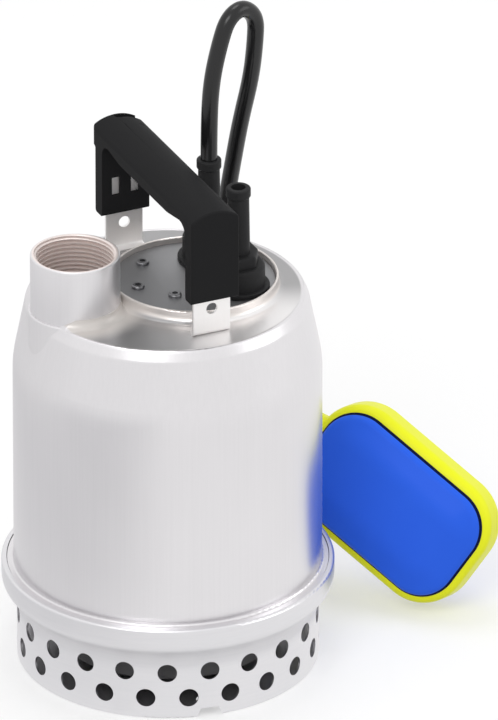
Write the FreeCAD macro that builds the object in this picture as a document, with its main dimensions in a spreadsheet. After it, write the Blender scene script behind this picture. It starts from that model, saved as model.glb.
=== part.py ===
import FreeCAD, Part

import math
import os

import Sketcher
from FreeCAD import Placement, Rotation, Vector

# Submersible sump pump. The frame has its origin on the floor under the axis of the
# sleeve, with +Z up, the discharge socket at -X and the handle along Y. The motor, the
# shaft and the round opening in the top stand off-centre, towards +X.
# All sizes are in millimetres and degrees.

SIZES = {
    # stainless sleeve
    "sleeve_radius": 77.5,
    "sleeve_wall": 1.5,
    "sleeve_cone_start": 165.0,
    "shoulder_radius": 71.2,
    "shoulder_height": 197.0,
    "ridge_radius": 68.5,
    "ridge_rise": 0.5,
    "ledge_height": 202.0,
    "foot_width": 3.3,
    "motor_offset": 14.5,
    "collar_radius": 42.5,
    "collar_height": 208.3,
    "collar_fillet": 3.5,
    # discharge
    "port_offset": 50.3,
    "socket_radius": 22.5,
    "socket_bore": 38.95,
    "socket_top": 233.0,
    "socket_bottom": 190.0,
    "socket_boss_wall": 1.3,
    "socket_boss_start": 176.0,
    "socket_fillet": 4.5,
    # motor can and its cover
    "can_radius": 54.0,
    "can_wall": 1.6,
    "can_shoulder": 176.0,
    "can_neck_start": 188.0,
    "cover_gap": 0.15,
    "cover_top": 205.4,
    "cover_thickness": 3.0,
    "cover_screw_radius": 3.3,
    "cover_screw_head": 1.7,
    "cover_screw_shank": 4.0,
    # handle
    "strap_span": 107.6,
    "strap_wide": 20.0,
    "strap_thick": 1.5,
    "strap_bend": 1.0,
    "strap_foot": 6.7,
    "strap_hook": 5.8,
    "strap_top": 266.9,
    "eye_bore": 6.0,
    "eye_height": 216.4,
    "grip_wide": 26.0,
    "grip_near_end": 58.5,
    "grip_far_end": 65.0,
    "post_depth": 8.0,
    "post_bottom": 222.5,
    "beam_underside": 261.0,
    "beam_edge": 267.5,
    "beam_crown": 272.0,
    "lip_bottom": 258.6,
    "groove_start": 51.4,
    "groove_wide": 5.6,
    "groove_floor": 267.5,
    "window_wide": 4.6,
    "window_tall": 10.2,
    "window_spacing": 10.4,
    "window_height": 238.0,
    # cable gland
    "gland_offset": 16.4,
    "outlet_spacing": 35.4,
    "gland_flange_radius": 15.8,
    "gland_body_radius": 13.4,
    "gland_block_radius": 10.8,
    "gland_gasket_thick": 0.8,
    "gland_flange_top": 208.0,
    "gland_body_top": 219.0,
    "gland_block_top": 225.0,
    "outlet_base": 11.8,
    "outlet_neck": 10.9,
    "outlet_lip": 12.5,
    "outlet_lip_start": 256.5,
    "outlet_top": 261.0,
    "mains_bore": 7.3,
    "float_cable": 8.5,
    "cable_seat": 2.0,
    # strainer
    "strainer_radius": 76.0,
    "strainer_wall": 1.2,
    "rim_radius": 83.75,
    "rim_top": 53.5,
    "rim_lip": 81.1,
    "rim_start": 43.0,
    "flare_start": 35.0,
    "strainer_floor": 4.3,
    "foot_ring": 3.0,
    "hole_bore": 9.8,
    "hole_count": 22.0,
    "lower_row": 11.6,
    "upper_row": 25.7,
    "flare_bend": 14.0,
    "rim_bend": 8.0,
    "notch_wide": 14.7,
    "notch_top": 9.4,
    "notch_tall": 5.0,
    "notch_depth": 9.0,
    "floor_hole_bore": 9.5,
    "floor_hole_circle": 68.0,
    # casing plate and pump casing
    "plate_bottom": 42.8,
    "plate_top": 51.5,
    "spigot_height": 4.5,
    "casing_radius": 59.0,
    "casing_wall": 3.0,
    "casing_bottom": 12.0,
    "casing_floor": 2.5,
    "casing_flange": 66.0,
    "casing_flange_thick": 3.0,
    "inlet_bore": 40.0,
    "port_inner": 43.0,
    "port_outer": 55.0,
    "port_half_angle": 38.0,
    "casing_screw_circle": 62.5,
    "casing_screw_count": 6.0,
    "seal_section": 2.4,
    # impeller
    "impeller_radius": 38.0,
    "vane_bottom": 15.5,
    "shroud_bottom": 32.0,
    "shroud_thick": 3.0,
    "vane_count": 6.0,
    "vane_thick": 2.6,
    "hub_radius": 10.0,
    "hub_bottom": 24.0,
    "nut_height": 6.5,
    # shaft and bearings
    "shaft_thread": 8.0,
    "shaft_low": 12.0,
    "shaft_lower_seat": 15.0,
    "shaft_rotor_seat": 18.0,
    "shaft_upper_seat": 12.0,
    "lower_bearing_outer": 35.0,
    "lower_bearing_wide": 11.0,
    "lower_bearing_base": 66.0,
    "lower_ball_circle": 25.2,
    "lower_ball_count": 8.0,
    "upper_bearing_outer": 32.0,
    "upper_bearing_wide": 10.0,
    "upper_bearing_base": 157.0,
    "upper_ball_circle": 22.0,
    "upper_ball_count": 7.0,
    "ball_size": 5.8,
    "race_play": 0.15,
    # shaft seal
    "seal_seat_radius": 16.0,
    "seal_seat_base": 43.8,
    "seal_seat_top": 49.5,
    "seal_ring_radius": 12.0,
    "seal_gap": 0.2,
    "seal_ring_top": 60.0,
    # motor
    "core_base": 92.0,
    "core_length": 50.0,
    "stator_bore": 56.0,
    "air_gap": 0.4,
    "slot_count": 16.0,
    "slot_wide": 5.0,
    "slot_depth": 12.0,
    "winding_rise": 12.0,
    "end_ring_rise": 6.0,
    "tie_circle": 49.0,
    "tie_bore": 4.0,
    "lower_bracket_base": 60.5,
    "upper_bracket_base": 155.0,
    "bracket_thick": 4.0,
    "capacitor_radius": 11.0,
    "capacitor_length": 52.0,
    "capacitor_offset": 6.0,
    "clip_thick": 1.0,
    "clip_wide": 14.0,
    # float switch
    "float_long": 106.0,
    "float_wide": 70.0,
    "float_corner": 25.0,
    "band_thick": 21.0,
    "band_edge_long": 4.0,
    "band_edge_wide": 5.0,
    "shell_corner": 20.0,
    "shell_rise": 18.0,
    "shell_bevel": 14.0,
    "shell_bevel_drop": 4.2,
    "shell_shoulder": 4.5,
    "shell_crown": 30.0,
    "shell_wall": 2.5,
    "neck_root_wide": 26.0,
    "neck_root_thick": 19.0,
    "neck_end": 15.0,
    "neck_length": 18.0,
    "neck_bore": 8.5,
    "neck_seal_bore": 3.0,
    "switch_long": 22.0,
    "switch_wide": 26.0,
    "switch_thick": 14.0,
    "tube_bore": 13.6,
    "tube_wall": 1.7,
    "tube_length": 50.0,
    "tube_start": 16.0,
    "float_ball": 12.0,
    # where the float hangs
    "float_place_x": 130.0,
    "float_place_y": 8.7,
    "float_place_z": 51.0,
    "float_yaw": -55.3,
    "float_pitch": 29.0,
    "float_roll": 69.0,
}

# Corners of the float cable's route, from the gland's far outlet over its top bend and
# down behind the pump to the float's neck, chosen by hand from the photographed line.
CABLE_ROUTE = [
    (30.9, 17.7, 259.0),
    (30.9, 17.7, 281.0),
    (32.8, 18.8, 303.0),
    (37.9, 19.9, 322.5),
    (42.5, 20.4, 335.0),
    (52.1, 23.6, 338.5),
    (60.7, 26.3, 330.0),
    (60.7, 27.5, 315.0),
    (60.5, 31.8, 294.0),
    (58.1, 38.9, 268.0),
    (57.0, 45.5, 243.0),
    (55.9, 51.5, 218.0),
    (57.0, 62.5, 190.0),
    (59.8, 75.5, 160.3),
    (65.4, 84.7, 134.4),
    (74.2, 83.5, 112.1),
]
BEND_SHARE = 0.45
CABLE_LEAD_OUT = 20.0

doc = FreeCAD.newDocument("SumpPump")
sheet = doc.addObject("Spreadsheet::Sheet", "Sizes")
for row, (alias, value) in enumerate(SIZES.items(), start=1):
    sheet.set(f"A{row}", alias)
    sheet.set(f"B{row}", repr(value))
    sheet.setAlias(f"B{row}", alias)
doc.recompute()
nodes = []


# A size that remembers how it was worked out, so that a dimension can be bound to it.
class Size:
    def __init__(self, value, text):
        self.value = value
        self.text = text

    def __add__(self, other):
        other = as_size(other)
        return Size(self.value + other.value, f"({self.text} + {other.text})")

    def __sub__(self, other):
        other = as_size(other)
        return Size(self.value - other.value, f"({self.text} - {other.text})")

    def __mul__(self, other):
        other = as_size(other)
        return Size(self.value * other.value, f"({self.text} * {other.text})")

    def __truediv__(self, other):
        other = as_size(other)
        return Size(self.value / other.value, f"({self.text} / {other.text})")

    def __radd__(self, other):
        return as_size(other) + self

    def __rsub__(self, other):
        return as_size(other) - self

    def __rmul__(self, other):
        return as_size(other) * self

    def __rtruediv__(self, other):
        return as_size(other) / self

    def __neg__(self):
        return Size(-self.value, f"(0 - {self.text})")


def as_size(number):
    if isinstance(number, Size):
        return number
    return Size(float(number), f"({number})" if number < 0 else f"{number}")


def size(alias):
    return Size(float(sheet.get(alias)), f"Sizes.{alias}")


def cosine(angle):
    return Size(math.cos(math.radians(angle.value)), f"cos({angle.text} * 1 deg)")


def sine(angle):
    return Size(math.sin(math.radians(angle.value)), f"sin({angle.text} * 1 deg)")


def bind(thing, path, amount):
    thing.setExpression(path, as_size(amount).text)


# Bodies, sketches and features

def new_body(label, x=0, y=0, z=0, node=True):
    body = doc.addObject("PartDesign::Body", label)
    body.Label = label
    for axis, amount in (("x", x), ("y", y), ("z", z)):
        bind(body, f"Placement.Base.{axis}", amount)
    if node:
        nodes.append(body)
    return body


def origin_feature(body, role):
    return next(f for f in body.Origin.OriginFeatures if f.Role == role)


# The shift and the turn are in the plane's own axes, the turn about the plane's up axis.
def new_sketch(body, role, shift=(0, 0, 0), turn=None):
    sketch = body.newObject("Sketcher::SketchObject", f"{body.Label}_outline")
    sketch.AttachmentSupport = [(origin_feature(body, role), "")]
    sketch.MapMode = "FlatFace"
    if turn is not None:
        sketch.AttachmentOffset = Placement(Vector(), Rotation(Vector(0, 1, 0), 1))
        bind(sketch, "AttachmentOffset.Rotation.Angle", turn)
    for axis, amount in zip("xyz", shift):
        bind(sketch, f"AttachmentOffset.Base.{axis}", amount)
    return sketch


def fix_point(sketch, geometry, end, x, y):
    for kind, amount in (("DistanceX", as_size(x)), ("DistanceY", as_size(y))):
        index = sketch.addConstraint(
            Sketcher.Constraint(kind, -1, 1, geometry, end, amount.value)
        )
        bind(sketch, f"Constraints[{index}]", amount)


def fix_radius(sketch, geometry, radius):
    radius = as_size(radius)
    index = sketch.addConstraint(Sketcher.Constraint("Radius", geometry, radius.value))
    bind(sketch, f"Constraints[{index}]", radius)


# A closed outline through corners given as (x, y) or, where rounded, (x, y, radius).
def draw_outline(sketch, corners):
    spots = [Vector(as_size(c[0]).value, as_size(c[1]).value, 0) for c in corners]
    count = len(corners)
    first = sketch.GeometryCount
    for i in range(count):
        sketch.addGeometry(Part.LineSegment(spots[i], spots[(i + 1) % count]), False)
    for i in range(count):
        sketch.addConstraint(
            Sketcher.Constraint("Coincident", first + i, 2, first + (i + 1) % count, 1)
        )
    for i, corner in enumerate(corners):
        fix_point(sketch, first + i, 1, corner[0], corner[1])
    for i, corner in enumerate(corners):
        if len(corner) < 3:
            continue
        before = (i - 1) % count
        sketch.fillet(
            first + before,
            first + i,
            (spots[before] + spots[i]) * 0.5,
            (spots[(i + 1) % count] + spots[i]) * 0.5,
            as_size(corner[2]).value,
            True,
            True,
        )
        arcs = [
            k
            for k, shape in enumerate(sketch.Geometry)
            if shape.TypeId == "Part::GeomArcOfCircle"
        ]
        fix_radius(sketch, arcs[-1], corner[2])


def draw_circle(sketch, x, y, radius):
    spot = Vector(as_size(x).value, as_size(y).value, 0)
    circle = Part.Circle(spot, Vector(0, 0, 1), as_size(radius).value)
    index = sketch.addGeometry(circle, False)
    fix_point(sketch, index, 3, x, y)
    fix_radius(sketch, index, radius)


def draw_box(sketch, half_x, half_y, corner=None, x=0, y=0):
    ends = [(-1, -1), (1, -1), (1, 1), (-1, 1)]
    corners = [(x + half_x * i, y + half_y * j) for i, j in ends]
    if corner is not None:
        corners = [(a, b, corner) for a, b in corners]
    draw_outline(sketch, corners)


# An oblong along y: two half circles joined by two lines.
def draw_oblong(sketch, x, y, half_spacing, radius):
    across = as_size(radius).value
    middle = as_size(x).value
    high = as_size(y + half_spacing).value
    low = as_size(y - half_spacing).value
    up = Vector(0, 0, 1)
    first = sketch.GeometryCount
    sketch.addGeometry(
        [
            Part.ArcOfCircle(Part.Circle(Vector(middle, high, 0), up, across), 0, math.pi),
            Part.ArcOfCircle(
                Part.Circle(Vector(middle, low, 0), up, across), math.pi, 2 * math.pi
            ),
            Part.LineSegment(
                Vector(middle - across, high, 0), Vector(middle - across, low, 0)
            ),
            Part.LineSegment(
                Vector(middle + across, low, 0), Vector(middle + across, high, 0)
            ),
        ],
        False,
    )
    top, bottom, left, right = range(first, first + 4)
    for arc, arc_end, line, line_end in (
        (top, 2, left, 1),
        (left, 2, bottom, 1),
        (bottom, 2, right, 1),
        (right, 2, top, 1),
    ):
        sketch.addConstraint(Sketcher.Constraint("Tangent", arc, arc_end, line, line_end))
    fix_point(sketch, top, 3, x, y + half_spacing)
    fix_point(sketch, bottom, 3, x, y - half_spacing)
    fix_radius(sketch, top, radius)


def add_pad(body, sketch, length, reverse=False, symmetric=False):
    pad = body.newObject("PartDesign::Pad", f"{body.Label}_pad")
    pad.Profile = sketch
    bind(pad, "Length", length)
    pad.Reversed = reverse
    if symmetric:
        pad.SideType = "Symmetric"
    return pad


def add_pocket(body, sketch, length, reverse=False, symmetric=False):
    pocket = body.newObject("PartDesign::Pocket", f"{body.Label}_pocket")
    pocket.Profile = sketch
    bind(pocket, "Length", length)
    pocket.Reversed = reverse
    if symmetric:
        pocket.SideType = "Symmetric"
    check_cut(body, pocket)
    return pocket


def add_turn(body, sketch, cut=False):
    kind = "PartDesign::Groove" if cut else "PartDesign::Revolution"
    turn = body.newObject(kind, f"{body.Label}_turn")
    turn.Profile = sketch
    turn.ReferenceAxis = (sketch, ["V_Axis"])
    turn.Angle = 360
    if cut:
        check_cut(body, turn)
    return turn


def add_loft(body, first, second, cut=False):
    kind = "PartDesign::SubtractiveLoft" if cut else "PartDesign::AdditiveLoft"
    loft = body.newObject(kind, f"{body.Label}_loft")
    loft.Profile = first
    loft.Sections = [second]
    loft.Ruled = True
    if cut:
        check_cut(body, loft)
    return loft


def check_cut(body, cut):
    doc.recompute()
    before = cut.BaseFeature.Shape.Volume
    if not cut.Shape.Volume < before - 1e-3:
        raise ValueError(f"{body.Label}: {cut.Label} cuts nothing")


def add_ring_pattern(body, features, count, about="Z_Axis"):
    pattern = body.newObject("PartDesign::PolarPattern", f"{body.Label}_pattern")
    pattern.Originals = features
    pattern.Axis = (origin_feature(body, about), [""])
    pattern.Angle = 360
    bind(pattern, "Occurrences", count)
    body.Tip = pattern
    return pattern


# Rounds the edges of the body's last feature for which the test is true.
def round_edges(body, radius, test):
    doc.recompute()
    base = body.Tip
    picked = [
        f"Edge{i}"
        for i, edge in enumerate(base.Shape.Edges, start=1)
        if test(edge)
    ]
    if not picked:
        raise ValueError(f"{body.Label}: no edge to round")
    fillet = body.newObject("PartDesign::Fillet", f"{body.Label}_rounding")
    fillet.Base = (base, picked)
    bind(fillet, "Radius", radius)
    return fillet


def near(value, target):
    return abs(value - as_size(target).value) < 0.01


def level_edge(height):
    return lambda edge: near(edge.BoundBox.ZMin, height) and near(edge.BoundBox.ZMax, height)


def turned_part(label, corners, x=0, y=0, z=0, node=True):
    body = new_body(label, x, y, z, node)
    sketch = new_sketch(body, "XZ_Plane")
    draw_outline(sketch, corners)
    add_turn(body, sketch)
    return body


# A tube with square ends, for rings and bushes.
def ring_corners(inner, outer, low, high, corner=None):
    spots = [(inner, low), (outer, low), (outer, high), (inner, high)]
    return spots if corner is None else [(a, b, corner) for a, b in spots]


# Several separate solids in one node.
def add_group(label, shapes):
    group = doc.addObject("Part::Feature", label)
    group.Label = label
    group.Shape = Part.makeCompound(shapes)
    group.Placement = Placement()
    nodes.append(group)
    return group


def copies_at(shape, places):
    return [shape.transformed(place.toMatrix()) for place in places]


def ring_places(count, radius, height, centre_x=0.0, start=0.0):
    places = []
    for i in range(int(count)):
        turn = Rotation(Vector(0, 0, 1), start + i * 360 / int(count))
        spot = turn.multVec(Vector(radius, 0, 0)) + Vector(centre_x, 0, height)
        places.append(Placement(spot, turn))
    return places


# Named places that several pieces share
motor_x = size("motor_offset")
port_x = -size("port_offset")
gland_x = motor_x + size("gland_offset")
outlet_y = size("outlet_spacing") / 2
plate_top = size("plate_top")
collar_bore = size("collar_radius") - size("sleeve_wall")
can_inner = size("can_radius") - size("can_wall")
neck_radius = collar_bore - 0.4
neck_inner = neck_radius - size("can_wall")
cover_bottom = size("cover_top") - size("cover_thickness")
plate_radius = size("sleeve_radius") + size("foot_width")
core_top = size("core_base") + size("core_length")
upper_bracket_top = size("upper_bracket_base") + size("bracket_thick")
upper_hub_top = size("upper_bearing_base") + size("upper_bearing_wide") + 3


# Pump shell

def make_sleeve():
    outer = size("sleeve_radius")
    wall = size("sleeve_wall")
    ledge = size("ledge_height")
    ridge = size("ridge_radius")
    under = ledge - wall
    body = turned_part(
        "pump_sleeve",
        [
            (0, plate_top),
            (plate_radius, plate_top),
            (plate_radius, plate_top + wall),
            (outer, plate_top + wall, 1.2),
            (outer, size("sleeve_cone_start"), 60),
            (size("shoulder_radius"), size("shoulder_height"), 5),
            (ridge, ledge + size("ridge_rise"), 1.5),
            (ridge - 1.8, ledge, 2),
            (0, ledge),
        ],
    )
    add_socket_fillet(body)
    boss_radius = size("socket_radius") + size("socket_boss_wall")
    boss_top = ledge + size("ridge_rise")
    sketch = new_sketch(body, "XZ_Plane", (port_x, 0, 0))
    draw_outline(
        sketch,
        [
            (0, size("socket_boss_start")),
            (boss_radius, size("socket_boss_start")),
            (boss_radius, boss_top, 0.8),
            (0, boss_top),
        ],
    )
    add_turn(body, sketch)
    collar = size("collar_radius")
    fillet = size("collar_fillet")
    sketch = new_sketch(body, "XZ_Plane", (motor_x, 0, 0))
    draw_outline(
        sketch,
        [
            (collar_bore, under),
            (collar + fillet + 1, under),
            (collar + fillet + 1, ledge),
            (collar, ledge, fillet),
            (collar, size("collar_height"), 0.7),
            (collar_bore, size("collar_height"), 0.7),
        ],
    )
    add_turn(body, sketch)
    inner = outer - wall
    sketch = new_sketch(body, "XZ_Plane")
    draw_outline(
        sketch,
        [
            (0, plate_top - 1),
            (inner, plate_top - 1),
            (inner, size("sleeve_cone_start"), 60),
            (size("shoulder_radius") - wall, size("shoulder_height") - 1, 3.5),
            (ridge - 1, under, 1),
            (0, under),
        ],
    )
    add_turn(body, sketch, cut=True)
    sketch = new_sketch(body, "XY_Plane", (0, 0, size("socket_bottom")))
    draw_circle(sketch, port_x, 0, size("socket_radius"))
    add_pocket(body, sketch, size("collar_height") - size("socket_bottom"), reverse=True)
    sketch = new_sketch(body, "XY_Plane", (0, 0, under - 1))
    draw_circle(sketch, motor_x, 0, collar_bore)
    add_pocket(body, sketch, size("collar_height") - under + 2, reverse=True)
    return body


# The sheet rises to the socket in a hollow fillet, which ends at the ledge's ridge.
def add_socket_fillet(body):
    ledge = size("ledge_height")
    ridge = size("ridge_radius")
    fillet = size("socket_fillet")
    lip = size("socket_radius") + 0.3
    root = ledge - 0.5
    rim = ledge - 0.08
    top = ledge + fillet + 0.3
    sketch = new_sketch(body, "XZ_Plane", (port_x, 0, 0))
    draw_outline(
        sketch,
        [
            (lip - 3, root),
            (lip + fillet + 0.5, root),
            (lip + fillet + 0.5, rim),
            (lip, rim, fillet),
            (lip, top),
            (lip - 3, top),
        ],
    )
    add_turn(body, sketch)
    far = size("sleeve_radius") + 10
    sketch = new_sketch(body, "XZ_Plane")
    draw_outline(
        sketch,
        [
            (ridge - 7, top + 1),
            (ridge - 0.4, ledge + size("ridge_rise")),
            (ridge + 0.7, ledge - 0.6),
            (far, ledge - 0.6),
            (far, top + 1),
        ],
    )
    add_turn(body, sketch, cut=True)


def make_discharge_socket():
    outer = size("socket_radius")
    bore = size("socket_bore") / 2
    top = size("socket_top")
    return turned_part(
        "discharge_socket",
        [
            (bore, size("socket_bottom")),
            (outer, size("socket_bottom")),
            (outer, top, 1),
            (bore + 1.2, top),
            (bore, top - 1.2),
        ],
        x=port_x,
    )


# Motor can, deep-drawn with a neck that stands in the sleeve's collar.
def make_motor_can():
    outer = size("can_radius")
    wall = size("can_wall")
    shoulder = size("can_shoulder")
    neck_start = size("can_neck_start")
    return turned_part(
        "motor_can",
        [
            (outer - wall, plate_top),
            (outer, plate_top),
            (outer, shoulder, 6),
            (neck_radius, neck_start, 4),
            (neck_radius, cover_bottom),
            (neck_inner, cover_bottom),
            (neck_inner, neck_start - wall, 5),
            (outer - wall, shoulder - wall / 2, 4.5),
        ],
        x=motor_x,
    )


def cover_screw_spots():
    return [Vector(-1.8, 25.9, 0), Vector(-14.9, 2.5, 0), Vector(-1.9, -13.6, 0)]


def make_top_cover():
    disc = size("collar_radius") - size("sleeve_wall") - size("cover_gap")
    spigot = neck_inner
    body = turned_part(
        "top_cover",
        [
            (0, cover_bottom),
            (spigot - 3, cover_bottom),
            (spigot - 3, cover_bottom - 4),
            (spigot, cover_bottom - 4, 0.8),
            (spigot, cover_bottom),
            (disc, cover_bottom),
            (disc, size("cover_top"), 0.3),
            (0, size("cover_top")),
        ],
        x=motor_x,
    )
    boss_height = 5.4
    shank = size("cover_screw_shank") / 2
    for spot in cover_screw_spots():
        sketch = new_sketch(body, "XY_Plane", (0, 0, cover_bottom - boss_height))
        draw_circle(sketch, spot.x - motor_x, spot.y, shank + 2.5)
        add_pad(body, sketch, boss_height + 0.5)
    for spot in cover_screw_spots():
        sketch = new_sketch(body, "XY_Plane", (0, 0, size("cover_top")))
        draw_circle(sketch, spot.x - motor_x, spot.y, shank)
        add_pocket(body, sketch, size("cover_thickness") + boss_height - 1)
    sketch = new_sketch(body, "XY_Plane", (0, 0, size("cover_top")))
    draw_oblong(sketch, size("gland_offset"), as_size(0), as_size(9), 7)
    add_pocket(body, sketch, size("cover_thickness") + 1)
    return body


# A socket head screw along z with its head's seat at zero.
def socket_screw(label, head_radius, head_height, shank_radius, shank_length):
    body = turned_part(
        label,
        [
            (0, -shank_length),
            (shank_radius, -shank_length, 0.5),
            (shank_radius, 0),
            (head_radius, 0),
            (head_radius, head_height, 1),
            (0, head_height),
        ],
        node=False,
    )
    sketch = new_sketch(body, "XY_Plane", (0, 0, head_height))
    across = head_radius * 0.5
    corners = []
    for i in range(6):
        angle = math.radians(60 * i)
        corners.append((across * math.cos(angle), across * math.sin(angle)))
    draw_outline(sketch, corners)
    add_pocket(body, sketch, head_height * 0.6)
    return body


def make_cover_screws():
    depth = size("cover_thickness") + 4.4
    screw = socket_screw(
        "cover_screw",
        size("cover_screw_radius"),
        size("cover_screw_head"),
        size("cover_screw_shank") / 2,
        depth,
    )
    doc.recompute()
    top = Vector(0, 0, size("cover_top").value)
    places = [Placement(spot + top, Rotation()) for spot in cover_screw_spots()]
    return add_group("cover_screws", copies_at(screw.Shape, places))


# Handle

# One leg of the strap, with its foot and the hook in the grip both bent inward.
def make_strap_leg(side):
    body = new_body("strap_leg", node=False)
    outer = size("strap_span") / 2
    thick = size("strap_thick")
    inner = outer - thick
    ledge = size("ledge_height")
    toe = outer - size("strap_foot")
    hook = outer - size("strap_hook")
    top = size("strap_top")
    bend = size("strap_bend")
    corners = [
        (toe, ledge),
        (outer, ledge, bend + thick),
        (outer, top, bend + thick),
        (hook, top),
        (hook, top - thick),
        (inner, top - thick, bend),
        (inner, ledge + thick, bend),
        (toe, ledge + thick),
    ]
    sketch = new_sketch(body, "YZ_Plane")
    draw_outline(sketch, [(side * corner[0], *corner[1:]) for corner in corners])
    add_pad(body, sketch, size("strap_wide"), symmetric=True)
    round_edges(
        body,
        3,
        lambda edge: near(abs(edge.CenterOfMass.y), toe)
        and near(edge.BoundBox.ZLength, thick),
    )
    sketch = new_sketch(body, "XZ_Plane")
    draw_circle(sketch, 0, size("eye_height"), size("eye_bore") / 2)
    add_pocket(body, sketch, outer * 2 + 10, symmetric=True)
    return body


def make_handle_strap():
    legs = [make_strap_leg(side) for side in (-1, 1)]
    strap = doc.addObject("Part::Compound", "handle_strap")
    strap.Label = "handle_strap"
    strap.Links = legs
    nodes.append(strap)
    return strap


def make_handle_grip(strap):
    near_end = size("grip_near_end")
    far_end = size("grip_far_end")
    depth = size("post_depth")
    inner = near_end - depth
    bottom = size("post_bottom")
    under = size("beam_underside")
    crown = size("beam_crown")
    lip = size("lip_bottom")
    root = size("strap_top") - size("strap_thick") - 0.9
    long_view = new_body("grip_long_view", node=False)
    sketch = new_sketch(long_view, "YZ_Plane")
    draw_outline(
        sketch,
        [
            (-near_end, bottom, 1.5),
            (-inner, bottom, 1.2),
            (-inner, root, 7),
            (-inner + 22, under, 25),
            (inner - 22, under, 25),
            (inner, root, 7),
            (inner, bottom, 1.2),
            (near_end, bottom, 1.5),
            (near_end, lip, 1),
            (far_end + 2, lip),
            (far_end + 2, crown + 2),
            (-near_end, crown + 2),
        ],
    )
    wide = size("grip_wide")
    add_pad(long_view, sketch, wide + 4, symmetric=True)
    end_view = new_body("grip_end_view", node=False)
    sketch = new_sketch(end_view, "XZ_Plane", (0, 0, -far_end))
    half = wide / 2
    draw_outline(
        sketch,
        [
            (-half, bottom - 10),
            (half, bottom - 10),
            (half, size("beam_edge"), 3),
            (0, crown + 3.7, 21),
            (-half, size("beam_edge"), 3),
        ],
    )
    add_pad(end_view, sketch, near_end + far_end)
    for end, radius in ((far_end, 2.8), (-near_end, 1.2)):
        round_edges(
            end_view,
            radius,
            lambda edge: near(edge.BoundBox.YMin, end)
            and near(edge.BoundBox.YMax, end)
            and edge.CenterOfMass.z > bottom.value,
        )
    top_view = new_body("grip_top_view", node=False)
    sketch = new_sketch(top_view, "XY_Plane", (0, 0, bottom - 1))
    draw_outline(
        sketch,
        [
            (-half, -near_end - 1),
            (half, -near_end - 1),
            (half, far_end, 6),
            (-half, far_end, 6),
        ],
    )
    add_pad(top_view, sketch, crown - bottom + 4)
    block = doc.addObject("Part::MultiCommon", "grip_block")
    block.Shapes = [long_view, end_view, top_view]
    cutter = new_body("grip_openings", node=False)
    groove_y = size("groove_start") + size("groove_wide") / 2
    sketch = new_sketch(cutter, "XY_Plane", (0, 0, size("groove_floor")))
    start = 0.8
    draw_outline(
        sketch,
        [
            (start - size("groove_wide") / 2, size("groove_start"), 2.6),
            (half + 2, size("groove_start")),
            (half + 2, groove_y + size("groove_wide") / 2),
            (start - size("groove_wide") / 2, groove_y + size("groove_wide") / 2, 2.6),
        ],
    )
    add_pad(cutter, sketch, 12)
    openings = [cutter]
    for side in (-1, 1):
        for step in (-0.5, 0.5):
            window = new_body("grip_window", node=False)
            strap_face = size("strap_span") / 2 - size("strap_thick")
            reach = strap_face - inner
            sketch = new_sketch(window, "XZ_Plane", (0, 0, -side * (inner + reach / 2)))
            draw_box(
                sketch,
                size("window_wide") / 2,
                size("window_tall") / 2,
                0.5,
                size("window_spacing") * step,
                size("window_height"),
            )
            add_pad(window, sketch, reach, symmetric=True)
            openings.append(window)
    tools = doc.addObject("Part::MultiFuse", "grip_cuts")
    tools.Shapes = openings
    opened = doc.addObject("Part::Cut", "grip_opened")
    opened.Base = block
    opened.Tool = tools
    grip = doc.addObject("Part::Cut", "handle_grip")
    grip.Label = "handle_grip"
    grip.Base = opened
    grip.Tool = strap
    nodes.append(grip)
    return grip


# Cable gland

def make_gland_gasket():
    body = new_body("gland_gasket", x=gland_x)
    sketch = new_sketch(body, "XY_Plane", (0, 0, size("cover_top")))
    draw_oblong(sketch, as_size(0), as_size(0), outlet_y, size("gland_flange_radius") - 0.6)
    add_pad(body, sketch, size("gland_gasket_thick"))
    sketch = new_sketch(body, "XY_Plane", (0, 0, size("cover_top")))
    draw_oblong(sketch, as_size(0), as_size(0), as_size(9), 7)
    add_pocket(body, sketch, size("gland_gasket_thick"), reverse=True)
    return body


def make_gland_housing():
    base = size("cover_top") + size("gland_gasket_thick")
    flange_top = size("gland_flange_top")
    body_top = size("gland_body_top")
    body = new_body("gland_housing", x=gland_x)
    sketch = new_sketch(body, "XY_Plane", (0, 0, base))
    draw_oblong(sketch, as_size(0), as_size(0), outlet_y, size("gland_flange_radius"))
    add_pad(body, sketch, flange_top - base)
    round_edges(body, 0.8, level_edge(flange_top))
    sketch = new_sketch(body, "XY_Plane", (0, 0, base))
    draw_oblong(sketch, as_size(0), as_size(0), outlet_y, size("gland_body_radius"))
    add_pad(body, sketch, body_top - base)
    round_edges(body, 1.8, level_edge(body_top))
    wall = 2.2
    sketch = new_sketch(body, "XY_Plane", (0, 0, base))
    cavity = size("gland_body_radius") - wall
    draw_oblong(sketch, as_size(0), as_size(0), outlet_y, cavity)
    add_pocket(body, sketch, body_top - base - wall, reverse=True)
    sketch = new_sketch(body, "XY_Plane", (0, 0, body_top))
    draw_oblong(sketch, as_size(0), as_size(0), outlet_y, size("gland_block_radius") - 3)
    add_pocket(body, sketch, wall + 1)
    return body


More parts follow.
